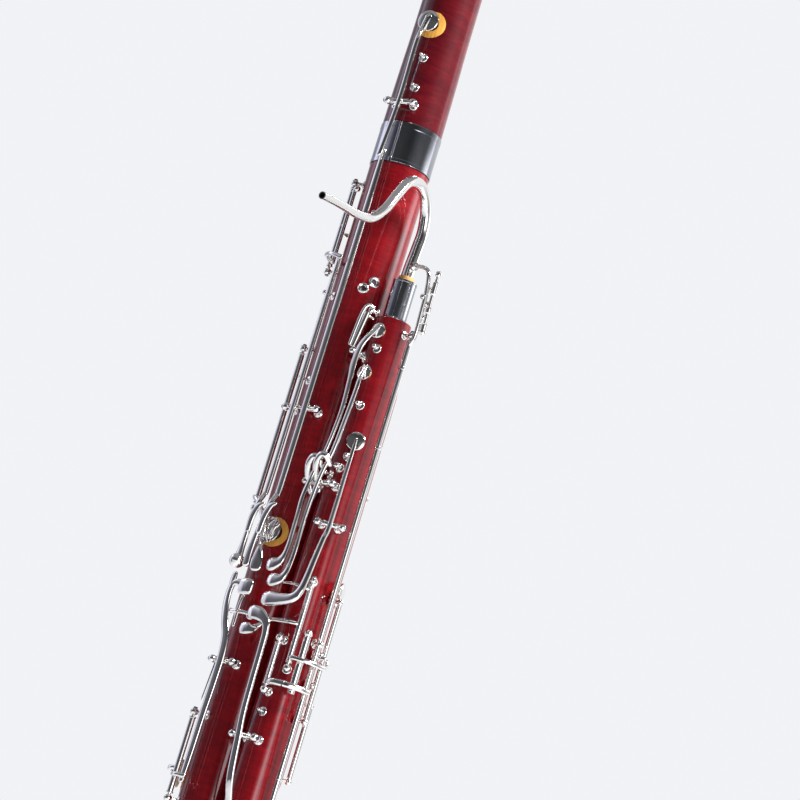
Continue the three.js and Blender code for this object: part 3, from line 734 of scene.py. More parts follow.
def make_bocal():
    """The crook: a drawn tube that narrows to the reed, with a ring at the reed's end and the whisper nib.
    """
    line = through(CROOK, 8)
    points = [V(WING_X, 0, z) + CROOK_WAY * out for out, z in line]
    side = CROOK_WAY.cross(UP).normalized()
    lengths = [0]
    for a, b in zip(points, points[1:]):
        lengths.append(lengths[-1] + (b - a).length)
    shape = Shape()
    rings, bore = [], []
    last = len(points) - 1
    for i, p in enumerate(points):
        share = lengths[i] / lengths[-1]
        radius = CROOK_WIDE + (CROOK_NARROW - CROOK_WIDE) * share
        if share > 0.985:  # the ring at the reed's end
            radius += 0.12
        tangent = (points[min(i + 1, last)] - points[max(i - 1, 0)]).normalized()
        up = tangent.cross(side)
        rings.append(circle(p, side, up, radius, 28))
        bore.append(circle(p, side, up, radius * CROOK_BORE, 28))
    shape.skin([bore[0], *rings, bore[-1]], "silver")
    # painted shade: the reed end is closed inside by a near-black cone
    shape.skin([bore[-1], bore[-4], [points[-4]]], "hole")
    nib = WING.out(60)
    turned(shape, V(WING_X, 0, 936) + nib * 4.2, nib, [
        (2.6, 0), (2.6, 1), (1.6, 1.6), (1.6, 5.2), (1, 5.3), (1, 4),
    ], 18)
    build("bocal_drawn", shape, ["bocal"], "bocal")
    wrap = Shape()
    turned(wrap, V(WING_X, 0, 0), UP, [
        (5, 903), (5.75, 903), (5.9, 904), (5.9, 928.4), (5.6, 929.6), (5, 929.9),
    ], 48, "cork")
    build("bocal_cork_wrap", wrap, ["bocal_cork"], "bocal")


def make_inner():
    """The inner CAD pieces stay and only take their finish."""
    corks = ("u_tube_gasket", "long_joint_top_cork", "long_joint_foot_cork", "wing_joint_foot_cork")
    for node in ("u_tube", *corks):
        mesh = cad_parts[node].data
        mesh.materials.clear()
        mesh.materials.append(FINISHES["cork" if node in corks else "brass"])


def make_fittings():
    loop = Shape()
    count = 40
    rings = []
    for i in range(count + 1):
        t = 2 * math.pi * i / count
        out = V(math.sin(t), 0, math.cos(t))
        rings.append(circle(V(0, -31.5, 414.8) + out * 9, out, BACK, 1.4, 14))
    loop.skin(rings, "silver")
    turned(loop, V(-2.8, -31.5, 427), V(1, 0, 0), [
        (1.3, 0), (3, 0), (3.2, 0.4), (3.2, 5.2), (3, 5.6), (1.3, 5.6),
    ], 24)
    build("strap_ring_bent", loop, ["strap_ring"], "strap_ring")
    rest = Shape()
    lever(rest, [
        (20, 52, 362, 5.2, 4.2), (34, 58, 356, 5.6, 4.6), (46, 52, 346, 5.6, 4.6),
        (52, 42, 338, 5, 4.2),
    ], V(0.3, 0.9, 0.2), "wood", square=2.1)
    bent(rest, [(21.6, 29.5, 344.5), (24, 40, 350), (26, 52, 358)], 2.6)
    turned(rest, V(21.5, 26.9, 345), BACK, [
        (6, 0), (6, 1.2), (5.6, 1.7), (3.6, 2), (3.2, 4.8), (0, 5),
    ], 30)
    build("hand_rest_crutch", rest, ["hand_rest"])
    lock = Shape()
    tube(lock, V(0.4, -20.5, 446), V(0.4, -20.5, 464.5), 1.5)
    ball(lock, V(0.4, -20.5, 466), 3.1)
    build("body_lock_bolt", lock, ["body_lock_pin"], "body_lock_pin")
    plates = Shape()
    for x, z in ((-2.6, 449), (4.6, 449)):
        lever(plates, [
            (x - 1.8, -17.8, z - 5, 1.6, 0.7), (x, -18.6, z, 2.2, 0.9),
            (x - 1.8, -17.8, z + 5, 1.6, 0.7),
        ])
    build("body_lock_plates", plates)


# ---- keys of the bell and long joint


def make_low_b_flat():
    heads = [BELL.at(11.5, 27.6, -10.5, 1056), BELL.at(11.5, 27.6, 10.5, 1056)]
    axle("low_b_flat_pad_axle", BELL, heads)
    shape = key(heads, 4, 17)
    arm = [(*BELL.at(18, 24.3, 0, 1124), 2.6, 1), (*BELL.at(13.5, 25.6, 0, 1114), 1.9, 1.4),
           (-12.4, -27.6, 1100, 1.8, 1.7), (-11.8, -30, 1056, 1.8, 1.7), (-11.2, -36.4, 1012, 1.8, 1.5)]
    lever(shape, arm, LONG_X)
    cup_on(shape, BELL, 18, 1121, 8)
    shape.turn(heads[0], heads[1] - heads[0], 4)
    forge("low_b_flat_pad_key", shape)
    spot_face("low_b_flat_spot_face", BELL, 18, 1121, 6.6, 10.6, 5.2)
    guides = Shape()
    post(guides, BELL, V(-7.6, -26.2, 1094), 1.4)
    post(guides, BELL, V(-6.8, -26.6, 1070), 1.3)
    needle(guides, V(-7.6, -26.2, 1094), V(-8.2, -26.8, 1064))
    build("bell_guides", guides)


LEVER_HEADS = [V(-31.5, -27.6, 817), V(-2.5, -27.6, 817)]


def make_long_levers():
    axle("long_lever_axle", LONG, LEVER_HEADS)
    shape = key(LEVER_HEADS, 16.5, 24.5)
    lever(shape, [
        (-12.6, -28.7, 1016, 1.9, 1.2), (-11.4, -29.8, 985, 2.3, 1.5), (-11, -30.1, 960, 2.4, 1.6),
        (-11, -30.1, 817, 2.4, 1.6), (-11, -30.2, 758, 2.3, 1.6), (-11, -31.6, 750, 2, 1.6),
        (-11.2, -34.2, 744, 1.9, 1.6), (-12, -35.4, 736, 1.9, 1.6), (-13.5, -35.6, 727, 1.9, 1.6),
        (-15, -35.6, 716, 2.2, 1.6), (-15.8, -35.7, 706, 2.8, 1.8), (-15.6, -35.7, 698, 2.9, 1.8),
    ], LONG_X, blunt=(1, 0.8))
    lever(shape, [
        (-12.6, -36.2, 722, 2.2, 1.5), (-11.4, -36.8, 732.4, 2.6, 1.6),
        (-8.2, -37, 740.4, 2.3, 1.5), (-4.2, -36.6, 743, 1.1, 1.1),
    ], FRONT)
    forge("low_b_flat_lever", shape)
    shape = key(LEVER_HEADS, 5, 13)
    lever(shape, [
        (-22.6, -29.9, 930, 1.7, 1.2), (-22.6, -30.1, 900, 2, 1.5), (-22.6, -30.1, 817, 2, 1.6),
        (-22.6, -30.2, 758, 2, 1.6), (-22.6, -31.6, 750, 1.8, 1.6), (-22.7, -34.2, 744, 1.8, 1.6),
        (-22.9, -35.4, 736, 1.9, 1.6), (-23.6, -35.5, 725, 1.9, 1.6), (-24.4, -35.3, 712, 2.3, 1.7),
        (-25, -35.2, 704, 3.4, 2.1), (-25.4, -35.2, 700, 3.8, 2.5),
    ], LONG_X, blunt=(1, 0.8))
    ball(shape, V(-25.4, -35.2, 699.4), 5.4, segments=28)
    lever(shape, [
        (-23.4, -36, 722, 2.2, 1.5), (-22.4, -36.8, 732, 2.6, 1.6), (-19.4, -37, 739.6, 2.3, 1.5),
        (-15.4, -36.6, 742, 1.1, 1.1),
    ], FRONT)
    forge("low_b_lever", shape)
    guides = Shape()
    for x, z in ((-26.5, 840), (-5.5, 968), (-28.5, 905)):
        post(guides, LONG, V(x, -27.2, z), 1.9)
    build("long_joint_guides", guides)


def make_low_b():
    x, y = -44, -14.6
    heads = [V(x, y, 996), V(x, y, 926)]
    axle("low_b_pad_axle", LONG, heads)
    shape = key(heads, 3.6, 66.4)
    lever(shape, [
        (x, y, 960, 1.8, 1.5), (-47.8, -4, 960, 1.9, 1.5),
        (*LONG.at(-110, 26.2, 0, 960), 2.6, 1.1),
    ], LONG_X)
    lever(shape, [
        (x, y, 934, 1.5, 1.4), (-40.6, -27.4, 934, 1.5, 1.4), (-31, -35.4, 933, 1.6, 1.4),
        (-21, -37.6, 930.4, 1.8, 1.3),
    ], LONG_X)
    cup_on(shape, LONG, -110, 960, 9.3)
    tube(shape, V(-39.4, -18.6, 991), V(-39.4, -18.6, 931), 1.5)
    for z in (989, 962, 933):
        bent(shape, [(x, y, z), (-39.4, -18.6, z)], 1.3)
    ball(shape, V(-37, -19.8, 990), 2.4)
    shape.turn(heads[0], UP, 9)
    forge("low_b_pad_key", shape)
    spot_face("low_b_spot_face", LONG, -110, 960, 8, 12, 6.5)


def make_low_c():
    x, y = -44.5, -14
    heads = [V(x, y, 866), V(x, y, 744)]
    axle("low_c_axle", LONG, heads)
    shape = key(heads, 3.6, 118.4)
    lever(shape, [
        (x, y, 752, 1.8, 1.5), (-38.5, -22.2, 750, 1.8, 1.5), (-30, -25, 746, 1.9, 1.5),
        (-22, -25.9, 738, 2.1, 1.2), (-16, -25.9, 729, 2, 1), (-11.5, -27.4, 718, 1.9, 1.3),
        (-7.6, -30.4, 711, 2.4, 1.5), (-5.8, -31, 703, 4.2, 1.7), (-5.2, -31, 697, 4.3, 1.6),
    ], LONG_X, blunt=(1, 0.8))
    cup_on(shape, LONG, 13, 727, 9.4)
    shape.turn(heads[0], UP, -5.5)
    forge("low_c_key", shape)
    spot_face("low_c_spot_face", LONG, 13, 727, 7.8, 10.9, 6.2)


def make_low_d():
    heads = [V(-27.6, -27.2, 630), V(-8.6, -27.2, 630)]
    axle("low_d_lever_axle", LONG, heads)
    shape = key(heads, 4, 15)
    lever(shape, [
        (-14.5, -34, 684, 2.8, 1.4), (-19.6, -34, 684.6, 2.4, 1.5), (-23.8, -33.8, 682.6, 2.5, 1.5),
        (-25.6, -33.2, 676, 2.9, 1.5), (-25.3, -32.4, 667, 3.1, 1.5), (-22.9, -31.8, 657, 3.1, 1.5),
        (-18.9, -31.2, 647, 3.1, 1.5), (-16.9, -30.8, 632, 3.1, 1.5), (-17.6, -30.3, 611, 3, 1.4),
        (-18.6, -29.9, 590, 2.8, 1.4), (-19, -29.8, 565, 2.6, 1.3), (-19.6, -29.8, 543, 2.2, 1.1),
    ], LONG_X, blunt=(0.8, 0.8))
    lever(shape, [
        (-24.6, -33.6, 680, 2.5, 1.5), (-24.6, -33.8, 686, 2.6, 1.5), (-24.4, -33.8, 690, 2.2, 1.4),
    ], V(-0.2, -1, 0))
    lever(shape, [
        (-14.6, -34.5, 682.2, 5.6, 1.9), (-10, -34.6, 682.2, 6, 2.4),
        (-5.8, -34.4, 682.2, 5.5, 1.9),
    ], FRONT, blunt=(0.35, 0.35), square=3)
    forge("low_d_lever", shape)
    hinge = [LONG.at(-28, 27.8, 0, 592), LONG.at(-28, 27.8, 0, 530)]
    axle("low_d_pad_axle", LONG, hinge)
    shape = key(hinge, 3.6, 58.4)
    lever(shape, [(*LONG.at(-28, 27.8, 0, 552), 1.8, 1.5), (*LONG.at(-28, 29, -8, 551), 1.9, 1.4),
                  (*LONG.at(-66, 24.8, 0, 550), 2.6, 1)], LONG_X)
    lever(shape, [
        (*LONG.at(-28, 27.8, 0, 546), 1.5, 1.4), (-29.8, -31, 546, 1.5, 1.4),
        (-24.6, -35.8, 546, 1.5, 1.4), (-17.4, -37, 546, 1.7, 1.2),
    ], LONG_X)
    cup_on(shape, LONG, -66, 550, 10.5, 3)
    shape.turn(hinge[0], UP, 12)
    forge("low_d_pad_key", shape)
    spot_face("low_d_spot_face", LONG, -66, 550, 8.8, 13, 7)
    frame_rod = Shape()
    bent(frame_rod, [(-19.4, -23.6, 680), (-19.4, -25.6, 672), (-19.2, -25.6, 656)], 1.3)
    bent(frame_rod, [(-26.4, -25, 666), (-19.3, -26, 666), (-11, -24.6, 666)], 1.5)
    post(frame_rod, LONG, V(-26.8, -24.8, 666), 2)
    post(frame_rod, LONG, V(-10.4, -24.4, 666), 2)
    post(frame_rod, LONG, V(-24.4, -25.4, 592), 1.8)
    build("low_d_spring_frame", frame_rod)
    springs = Shape()
    needle(springs, V(-26.5, -24.8, 628), V(-28.5, -25, 600))
    needle(springs, V(-17.5, -26, 628), V(-16, -24.5, 606))
    build("low_d_springs", springs)


def make_little_finger_keys():
    heads = [V(-33, 27.4, 600), V(-4, 27.4, 600)]
    axle("little_finger_axle", LONG, heads)
    shape = key(heads, 17, 25)
    lever(shape, [(-14, 22.8, 545, 2.4, 1), (-13, 26.4, 566, 1.8, 1.5), (-12, 29.8, 588, 1.8, 1.6),
                  (-12, 30.4, 612, 1.8, 1.6), (-11.2, 32.6, 640, 2.4, 1.6), (-10, 34, 651, 4.8, 1.7),
                  (-10, 34, 660, 4.8, 1.6)], BACK, blunt=(1, 0.8))
    cup_on(shape, LONG, 168, 545, 7.5)
    forge("low_c_sharp_key", shape)
    shape = key(heads, 4, 12)
    lever(shape, [(-24, 22.6, 518, 2.4, 1), (-24.6, 26.4, 540, 1.8, 1.5), (-25, 29.8, 566, 1.8, 1.6),
                  (-25, 30.4, 612, 1.8, 1.6), (-24.4, 32.6, 640, 2.4, 1.6), (-24, 34, 651, 4.8, 1.7),
                  (-24, 34, 660, 4.8, 1.6)], BACK, blunt=(1, 0.8))
    cup_on(shape, LONG, 193, 518, 7.5)
    forge("low_e_flat_key", shape)


# ---- keys of the wing joint


def make_high_keys():
    heads = [V(2.4, -21.5, 766), V(27.4, -21.5, 766)]
    axle("high_key_axle", WING, heads)
    shape = key(heads, 3.6, 8.6)
    lever(shape, [
        (*WING.at(8, 16.4, 0, 886), 2.2, 0.9), (17.4, -19.8, 876, 2.4, 1.4),
        (14.4, -21.2, 868, 2.7, 1.5), (13.4, -21.8, 855, 2.7, 1.5), (14.8, -22, 842, 2, 1.5),
        (16.2, -22.4, 818, 1.7, 1.5), (14.2, -23.4, 790, 1.6, 1.5), (11, -24.4, 776, 1.6, 1.5),
        (9.4, -25.2, 766, 1.7, 1.5), (9.8, -27.8, 752, 1.7, 1.5), (11.2, -28.8, 739, 1.7, 1.5),
        (12, -29.4, 722, 1.7, 1.5), (12.6, -30.8, 711, 1.8, 1.5), (11.2, -32.2, 704.2, 3.2, 1.7),
        (6.6, -32.6, 701, 4.9, 2.3), (3.6, -32.4, 700.6, 4.6, 2),
    ], FRONT, blunt=(1, 0.75))
    cup_on(shape, WING, 8, 883, 5.8)
    forge("high_d_key", shape)
    shape = key(heads, 11, 21)
    lever(shape, [
        (*WING.at(5, 16.6, 0, 854), 2.2, 0.9), (21, -19.4, 845, 1.9, 1.3), (22, -20.8, 834, 1.7, 1.4),
        (22, -22.2, 815, 1.7, 1.5), (20.8, -23.4, 790, 1.7, 1.5), (18.2, -24.2, 776, 1.6, 1.5),
        (16.8, -25, 764, 1.7, 1.5), (15.8, -25.8, 742, 1.7, 1.5), (16.2, -26.2, 722, 1.7, 1.6),
        (17.6, -28.2, 708, 1.9, 1.6), (18.4, -30.8, 697, 2.2, 1.7), (16.2, -32.4, 691.6, 3.6, 1.8),
        (11.4, -32.7, 690, 4.8, 2), (8.2, -32.4, 690, 4.4, 1.7),
    ], FRONT, blunt=(1, 0.75))
    cup_on(shape, WING, 5, 851, 5.8)
    forge("high_c_key", shape)
    spot_face("high_d_spot_face", WING, 8, 883, 3.6, 4.7, 0)
    spot_face("high_c_spot_face", WING, 5, 851, 3.6, 4.7, 0)
    guides = Shape()
    arch = [V(10.4, -15.6, 900), V(8.2, -19, 900), V(5.8, -20.4, 893), V(3.2, -20.4, 870)]
    bent(guides, arch, 1.4)
    tube(guides, V(9, -18, 895), V(5.4, -19, 868), 2.3)
    for head in (V(10.2, -16.4, 897), V(5.6, -18.2, 865.5), V(11.6, -17.6, 862)):
        post(guides, WING, head, 2.6)
    tube(guides, V(9.4, -16.6, 893), V(15.6, -17.6, 890.5), 0.8)
    for head, size in ((V(24.6, -18.4, 870), 1.8), (V(25.2, -18.2, 827), 2), (V(28, -16.8, 789), 2),
                       (V(24.4, -19.6, 780), 2.4), (V(16.2, -20.8, 774), 2.2)):
        post(guides, WING, head, size)
    needle(guides, V(16.6, -21.4, 762), V(12.2, -22, 742))
    build("wing_guides", guides)
    hooks = Shape()
    for x, z in ((8.6, 779), (15.4, 781)):
        lever(hooks, [
            (x - 2.6, -17, z - 20, 1.7, 1.6), (x - 4.2, -22, z - 12, 2.1, 1.6),
            (x - 3.4, -26.9, z - 3, 2.4, 1.7), (x, -28.6, z + 3, 2.5, 1.7),
            (x + 3.6, -27, z + 3, 2.2, 1.6), (x + 5.2, -22.2, z - 2, 1.6, 1.4),
        ], V(0.3, -1, 0.4))
    build("wing_key_saddles", hooks)


def make_high_a():
    heads = [WING.at(38.5, 20.6, -8.8, 738), WING.at(38.5, 20.6, 8.8, 738)]
    axle("high_a_axle", WING, heads)
    shape = key(heads, 3.6, 14)
    at = WING.at
    lever(shape, [
        (*at(38.5, 18, 0, 802), 1, 0.8), (*at(38.5, 18.6, 0, 794), 1.4, 1.1),
        (*at(38.5, 20.4, 0, 778), 1.6, 1.4), (*at(38.5, 23, 0, 738), 1.8, 1.7),
        (33, -20.6, 726, 2, 1.7), (33.8, -24, 710, 2.2, 1.8), (35, -27.6, 694, 2.4, 1.9),
        (34.8, -29.8, 685, 2.8, 2), (31, -30.9, 679.6, 3.4, 2.1), (22, -31.3, 677.6, 4.4, 2.2),
        (12, -31.3, 676.8, 5.5, 2.4), (7.6, -31.1, 676.6, 5, 2),
    ], V(0.2, -1, 0), blunt=(1, 0.8))
    cup_on(shape, WING, 38.5, 801, 6.6, 2.2)
    forge("high_a_key", shape)
    spot_face("high_a_spot_face", WING, 38.5, 801, 4.6, 5.7, 0)


def make_thumb_c_sharp():
    heads = [V(8.2, -24, 582), V(28.6, -24, 582)]
    axle("thumb_c_sharp_axle", WING, heads)
    shape = key(heads, 4, 15)
    lever(shape, [
        (*WING.at(0, 16.9, 0, 528), 2.8, 1), (18.6, -19.6, 538, 2.8, 1.4), (18, -24.4, 554, 2.9, 1.6),
        (16.5, -26.8, 582, 2.6, 1.7), (16.4, -28.8, 598, 2.4, 1.7), (17.2, -30.6, 618, 2.4, 1.7),
        (18.6, -32.6, 640, 2.4, 1.7), (19.4, -34.2, 653, 2.6, 1.8), (17.6, -35.2, 660, 3.2, 1.9),
        (11.6, -36, 664, 4.7, 2.1), (6, -36.1, 664.8, 5, 2.1), (3.6, -36, 664.8, 4.6, 1.8),
    ], V(0.1, -1, 0), blunt=(1, 0.8))
    cup_on(shape, WING, 0, 528, 6.5)
    forge("thumb_c_sharp_key", shape)
    spot_face("thumb_c_sharp_spot_face", WING, 0, 528, 5.4, 8.6, 4)
    springs = Shape()
    needle(springs, V(20.5, -22.6, 584), V(22, -22, 602))
    post(springs, WING, V(22.2, -20.8, 602), 1.3)
    build("thumb_c_sharp_spring", springs)


def make_whisper():
    heads = [WING.at(39, 22, 0, 697), WING.at(39, 22, 0, 634)]
    axle("whisper_touch_axle", WING, heads)
    shape = key(heads, 3.6, 59.4)
    top = heads[0]
    lever(shape, [(top.x, top.y, 665, 1.4, 1.3), (28, -21.6, 665, 1.5, 1.2), (20, -22.4, 665, 1.7, 1.2),
                  (12, -23.2, 664.6, 1.4, 1.2)], V(0, -1, 0.2))
    lever(shape, [(12, -23.2, 664.6, 1.3, 1.2), (8, -27, 660, 1.6, 1.3), (5.4, -32.4, 654.6, 3.4, 1.5),
                  (1.6, -33.8, 653.4, 4.2, 1.7), (-2.2, -33.6, 653.2, 4.2, 1.6)], FRONT, blunt=(1, 0.8))
    lever(shape, [
        (top.x, top.y - 0.5, 690, 1.5, 1.3), (28, -21.6, 690.6, 1.8, 1.4),
        (20.4, -23.4, 691.6, 2.1, 1.2), (14, -24, 691.4, 1.6, 1),
    ], V(0, -0.4, 1))
    lever(shape, [
        (top.x, top.y, 641, 1.5, 1.2), (37.5, -20.4, 641, 1.6, 1.2), (46.4, -12.6, 641, 1.6, 1.2),
        (49, -1, 641, 1.6, 1.2), (47, 5, 643, 1.4, 1.2), (45.4, 6.2, 647, 1.3, 1.2),
    ], WING_X)
    forge("whisper_touch_key", shape)

    ends = [V(WHISPER_X, 0, 886), V(WHISPER_X, 0, 470)]
    axle("whisper_axle", WING, ends)
    shape = key(ends, 3.6, 412.4)
    for z in (860, 800, 560):
        turned(shape, V(WHISPER_X, 0, z), UP, [(2.1, 0), (2.6, 0.3), (2.6, 2.2), (2.1, 2.5)], 22)
    nib = WING.out(60)
    at = V(WING_X, 0, 936)
    lever(shape, [
        (WHISPER_X, 0, 878, 1.7, 1.5), (43, -1.8, 885, 1.7, 1.5), (43.6, -3.4, 900, 1.7, 1.5),
        (43.6, -5.2, 920, 1.7, 1.5), (41.4, -7.6, 933, 1.6, 1.4), (*(at + nib * 13.2), 1.6, 1.3),
    ], WING_X)
    turned(shape, V(46.6, 0.4, 890), V(1.6, -3.8, 42), [
        (0, 0), (2.2, 0), (2.4, 0.5), (2.4, 5), (1.5, 6), (1.5, 13), (2.4, 14), (2.4, 17),
        (1.5, 18), (1.5, 27), (2.2, 28), (2.2, 36), (1.5, 37), (1.5, 41), (0, 41.6),
    ], 22)
    turned(shape, at + nib * 9.9, nib, [
        (0, 0, "leather"), (2.4, 0, "leather"), (2.5, 0.7, "leather"), (3.1, 0.8), (3.2, 1.9),
        (2.2, 2.4), (0, 2.6),
    ], 24)
    knobs = [
        (48.2, -3.4, 932.4, 2.6), (45.4, -0.6, 910, 2.5), (42.4, -5.6, 914, 2.2), (46.6, 0.4, 890, 2.5),
        (46, -2.4, 921, 2.1), (44.8, -1.6, 900, 2.1),
    ]
    for x, y, z, size in knobs:
        ball(shape, V(x, y, z), size)
    lever(shape, [(WHISPER_X, 0, 648, 1.5, 1.3), (46.4, 1.2, 648, 1.4, 1.3)], FRONT)
    shape.turn(V(WHISPER_X, 0, 0), UP, 8)
    forge("whisper_key", shape)


def make_trill():
    heads = [V(22.3, -21.7, 653), V(22.3, -21.7, 616)]
    axle("c_sharp_trill_axle", WING, heads)
    shape = key(heads, 3.6, 33.4)
    lever(shape, [(22.3, -21.7, 622, 1.8, 1.5), (30, -24, 622, 2.2, 1.4), (39.5, -19.4, 622, 2.2, 1.4),
                  (45.4, -10, 622, 2, 1.4), (46, -4, 622, 1.8, 1.3)], V(0.6, -0.8, 0))
    for k in range(7):
        share = k / 6
        where = V(25.5, -23.2, 624.2).lerp(V(37, -21.4, 624.2), share)
        turned(shape, where, V(0, 0, -1), [(0, 0), (1.1, 0), (1.3, 0.4), (1.3, 4.2), (0, 4.4)], 10)
    forge("c_sharp_trill_key", shape)
    extras = Shape()
    tube(extras, V(38.2, -12.4, 658), V(38.2, -12.4, 617.5), 2.6)
    ball(extras, V(38.2, -12.4, 660.4), 3)
    for degrees, distance, z in ((92, 21, 657), (104, 21, 650), (118, 21, 645), (112, 21, 629)):
        post(extras, WING, WING.at(degrees, distance, 0, z), 2.6)
    build("wing_side_tube", extras)
    side = Shape()
    for degrees, low, high in ((112, 604, 690), (124, 562, 616)):
        head = [WING.at(degrees, 22.5, 0, high), WING.at(degrees, 22.5, 0, low)]
        for h in head:
            post(side, WING, h, 2.5)
        tube(side, head[0], head[1], 1.9)
    turned(side, WING.at(116, 19.2, 0, 698), WING.out(116), [
        (0, 0, "leather"), (5.4, 0, "leather"), (5.6, 0.8, "leather"), (6, 1), (6, 2.2), (4.6, 2.9),
        (0, 3.4),
    ], 28)
    build("wing_outer_keys", side)


def make_grommets():
    """The two silver liners set in the long joint."""
    shape = Shape()
    for x, y, z in ((0.8, -12, 920.6), (-5, -15.2, 914)):
        degrees = math.degrees(math.atan2(x - LONG_X, -y))
        seat = LONG.at(degrees, LONG.radius(z) - 0.3, 0, z)
        # painted shade: each liner's hole ends in a near-black disc
        turned(shape, seat, LONG.out(degrees), [
            (3.9, 0), (4.1, 0.5), (3.7, 1.1), (3, 1.5), (2.2, 1.3), (1.7, 0.7), (1.5, 0.5, "hole"),
            (0, 0.4, "hole"),
        ], 28)
    build("long_joint_liners", shape)


# ---- keys of the boot


def bound_boot_key(name, side, face, low, high, pad, finger=None):
    """A boot key hinged along Z: side is -1 or +1 for X, face for Y; pad and finger are (x, z, size)."""
    heads = [V(side * 41, face * 24, high), V(side * 41, face * 24, low)]
    axle(f"{name}_axle", BOOT, heads)
    out = V(0, face, 0)
    x, z, radius = pad
    seat = V(x, face * (BOOT_HALF + CLOSED), z)
    shape = key(heads, 3.6, high - low - 3.6)
    top = seat + out * 3.4
    lever(shape, [(side * 41, face * 24.5, z, 1.9, 1.5), (side * 34, face * 29.6, z, 2, 1.5),
                  (x + side * radius * 0.5, face * 30.4, z, 2.6, 1.2), (*top, 3.2, 0.9)], out)
    cup(shape, seat, out, radius)
    if finger:
        fx, fz, _ = finger
        lever(shape, [
            (*top, 2.6, 1), (x + (fx - x) * 0.5, face * 31.2, z + (fz - z) * 0.5, 2.6, 1.3),
            (fx, face * 31.6, fz - 3, 5.6, 1.6), (fx, face * 31.6, fz + 4, 5.8, 1.5),
        ], out, blunt=(1, 0.8))
    shape.turn(heads[0], UP, side * face * -5)
    forge(f"{name}_key", shape)
    ring = Shape()
    # painted shade: the middle of the ring is a near-black disc under the pad
    turned(ring, V(x, face * (BOOT_HALF - 0.1), z), out,
           [(radius + 1.8, 0, "amber"), (radius + 1.6, 0.3, "amber"), (radius - 3.4, 0.35, "amber"),
            (radius - 4, 0.3, "hole"), (0, 0.3, "hole")], 48, "amber")
    build(f"{name}_spot_face", ring)


def rocking_boot_key(name, x, axle_z, pad_z, touch_z):
    """A boot key that rocks over a crosswise axle."""
    y = -(BOOT_HALF + 6.5)
    heads = [V(x - 10, y, axle_z), V(x + 10, y, axle_z)]
    axle(f"{name}_axle", BOOT, heads)
    shape = key(heads, 3.8, 16.2)
    seat = V(x, -(BOOT_HALF + CLOSED), pad_z)
    near = axle_z + (touch_z - axle_z) * 0.4
    way = 1 if touch_z > axle_z else -1
    lever(shape, [
        (x, seat.y - 3, pad_z, 2.6, 0.9), (x, y - 1.6, axle_z + (pad_z - axle_z) * 0.5, 2, 1.4),
        (x, y - 2.4, axle_z, 1.9, 1.6), (x, y - 2.6, near, 2, 1.6),
        (x, y - 5.8, touch_z - way * 3, 6.4, 1.7), (x, y - 6.2, touch_z + way * 4, 6.6, 1.6),
    ], FRONT, blunt=(1, 0.8))
    cup(shape, seat, FRONT, 8)
    forge(f"{name}_key", shape)
    ring = Shape()
    # painted shade: the middle of the ring is a near-black disc under the pad
    turned(ring, V(x, -(BOOT_HALF - 0.1), pad_z), FRONT,
           [(9.8, 0), (9.6, 0.3), (6, 0.35), (5.6, 0.3, "hole"), (0, 0.3, "hole")], 40, "amber")
    build(f"{name}_spot_face", ring)


def make_boot_keys():
    bound_boot_key("low_e_pancake", -1, -1, 262, 330, (-13, 296, 13))
    bound_boot_key("g", 1, 1, 222, 290, (12, 256, 10.5), (0, 284, 0))
    bound_boot_key("low_f", -1, 1, 120, 200, (-13, 150, 13), (4, 184, 0))
    rocking_boot_key("thumb_b_flat", 10, 352, 384, 326)
    rocking_boot_key("thumb_f_sharp", 14, 236, 204, 264)


# ---- floor and light


FLOOR = 40  # metres from the middle to each edge
BLACK = (0, 0, 0, 1)
SCREEN_RADIUS, SCREEN_STEPS, DARKEST = 1.9, 4, 0.02


def sheet(name, points, faces, material, seen=False):
    """Part of the studio: a mesh that doesn't belong to the instrument."""
    mesh = bpy.data.meshes.new(name)
    mesh.from_pydata(points, [], faces)
    mesh.materials.append(material)
    piece = bpy.data.objects.new(name, mesh)
    piece.visible_camera = seen
    scene.collection.objects.link(piece)
    return mesh


def make_floor():
    n = Nodes("studio_floor")
    cloud = n.noise((3, 3, 3), 2, 0.5)
    n.set(Base_Color=n.ramp(cloud, (0.3, (0.80, 0.81, 0.83)), (0.7, (0.84, 0.85, 0.87))), Roughness=0.55)
    corners = [V(-FLOOR, -FLOOR, 0), V(FLOOR, -FLOOR, 0), V(FLOOR, FLOOR, 0), V(-FLOOR, FLOOR, 0)]
    sheet("studio_floor", corners, [(0, 1, 2, 3)], n.material, seen=True)


def panel(name, azimuth, height, distance, width, tall, energy):
    """An upright softbox at an azimuth round the instrument, degrees from -Y towards +X."""
    t = math.radians(azimuth)
    light = bpy.data.lights.new(name, "AREA")
    light.shape = "RECTANGLE"
    light.size, light.size_y = width, tall
    light.energy = energy
    holder = bpy.data.objects.new(name, light)
    place = V(math.sin(t) * distance, -math.cos(t) * distance, height)
    holder.location = place
    holder.rotation_mode = "QUATERNION"
    holder.rotation_quaternion = (V(0, 0, 0.8) - place).to_track_quat("-Z", "Y")
    scene.collection.objects.link(holder)


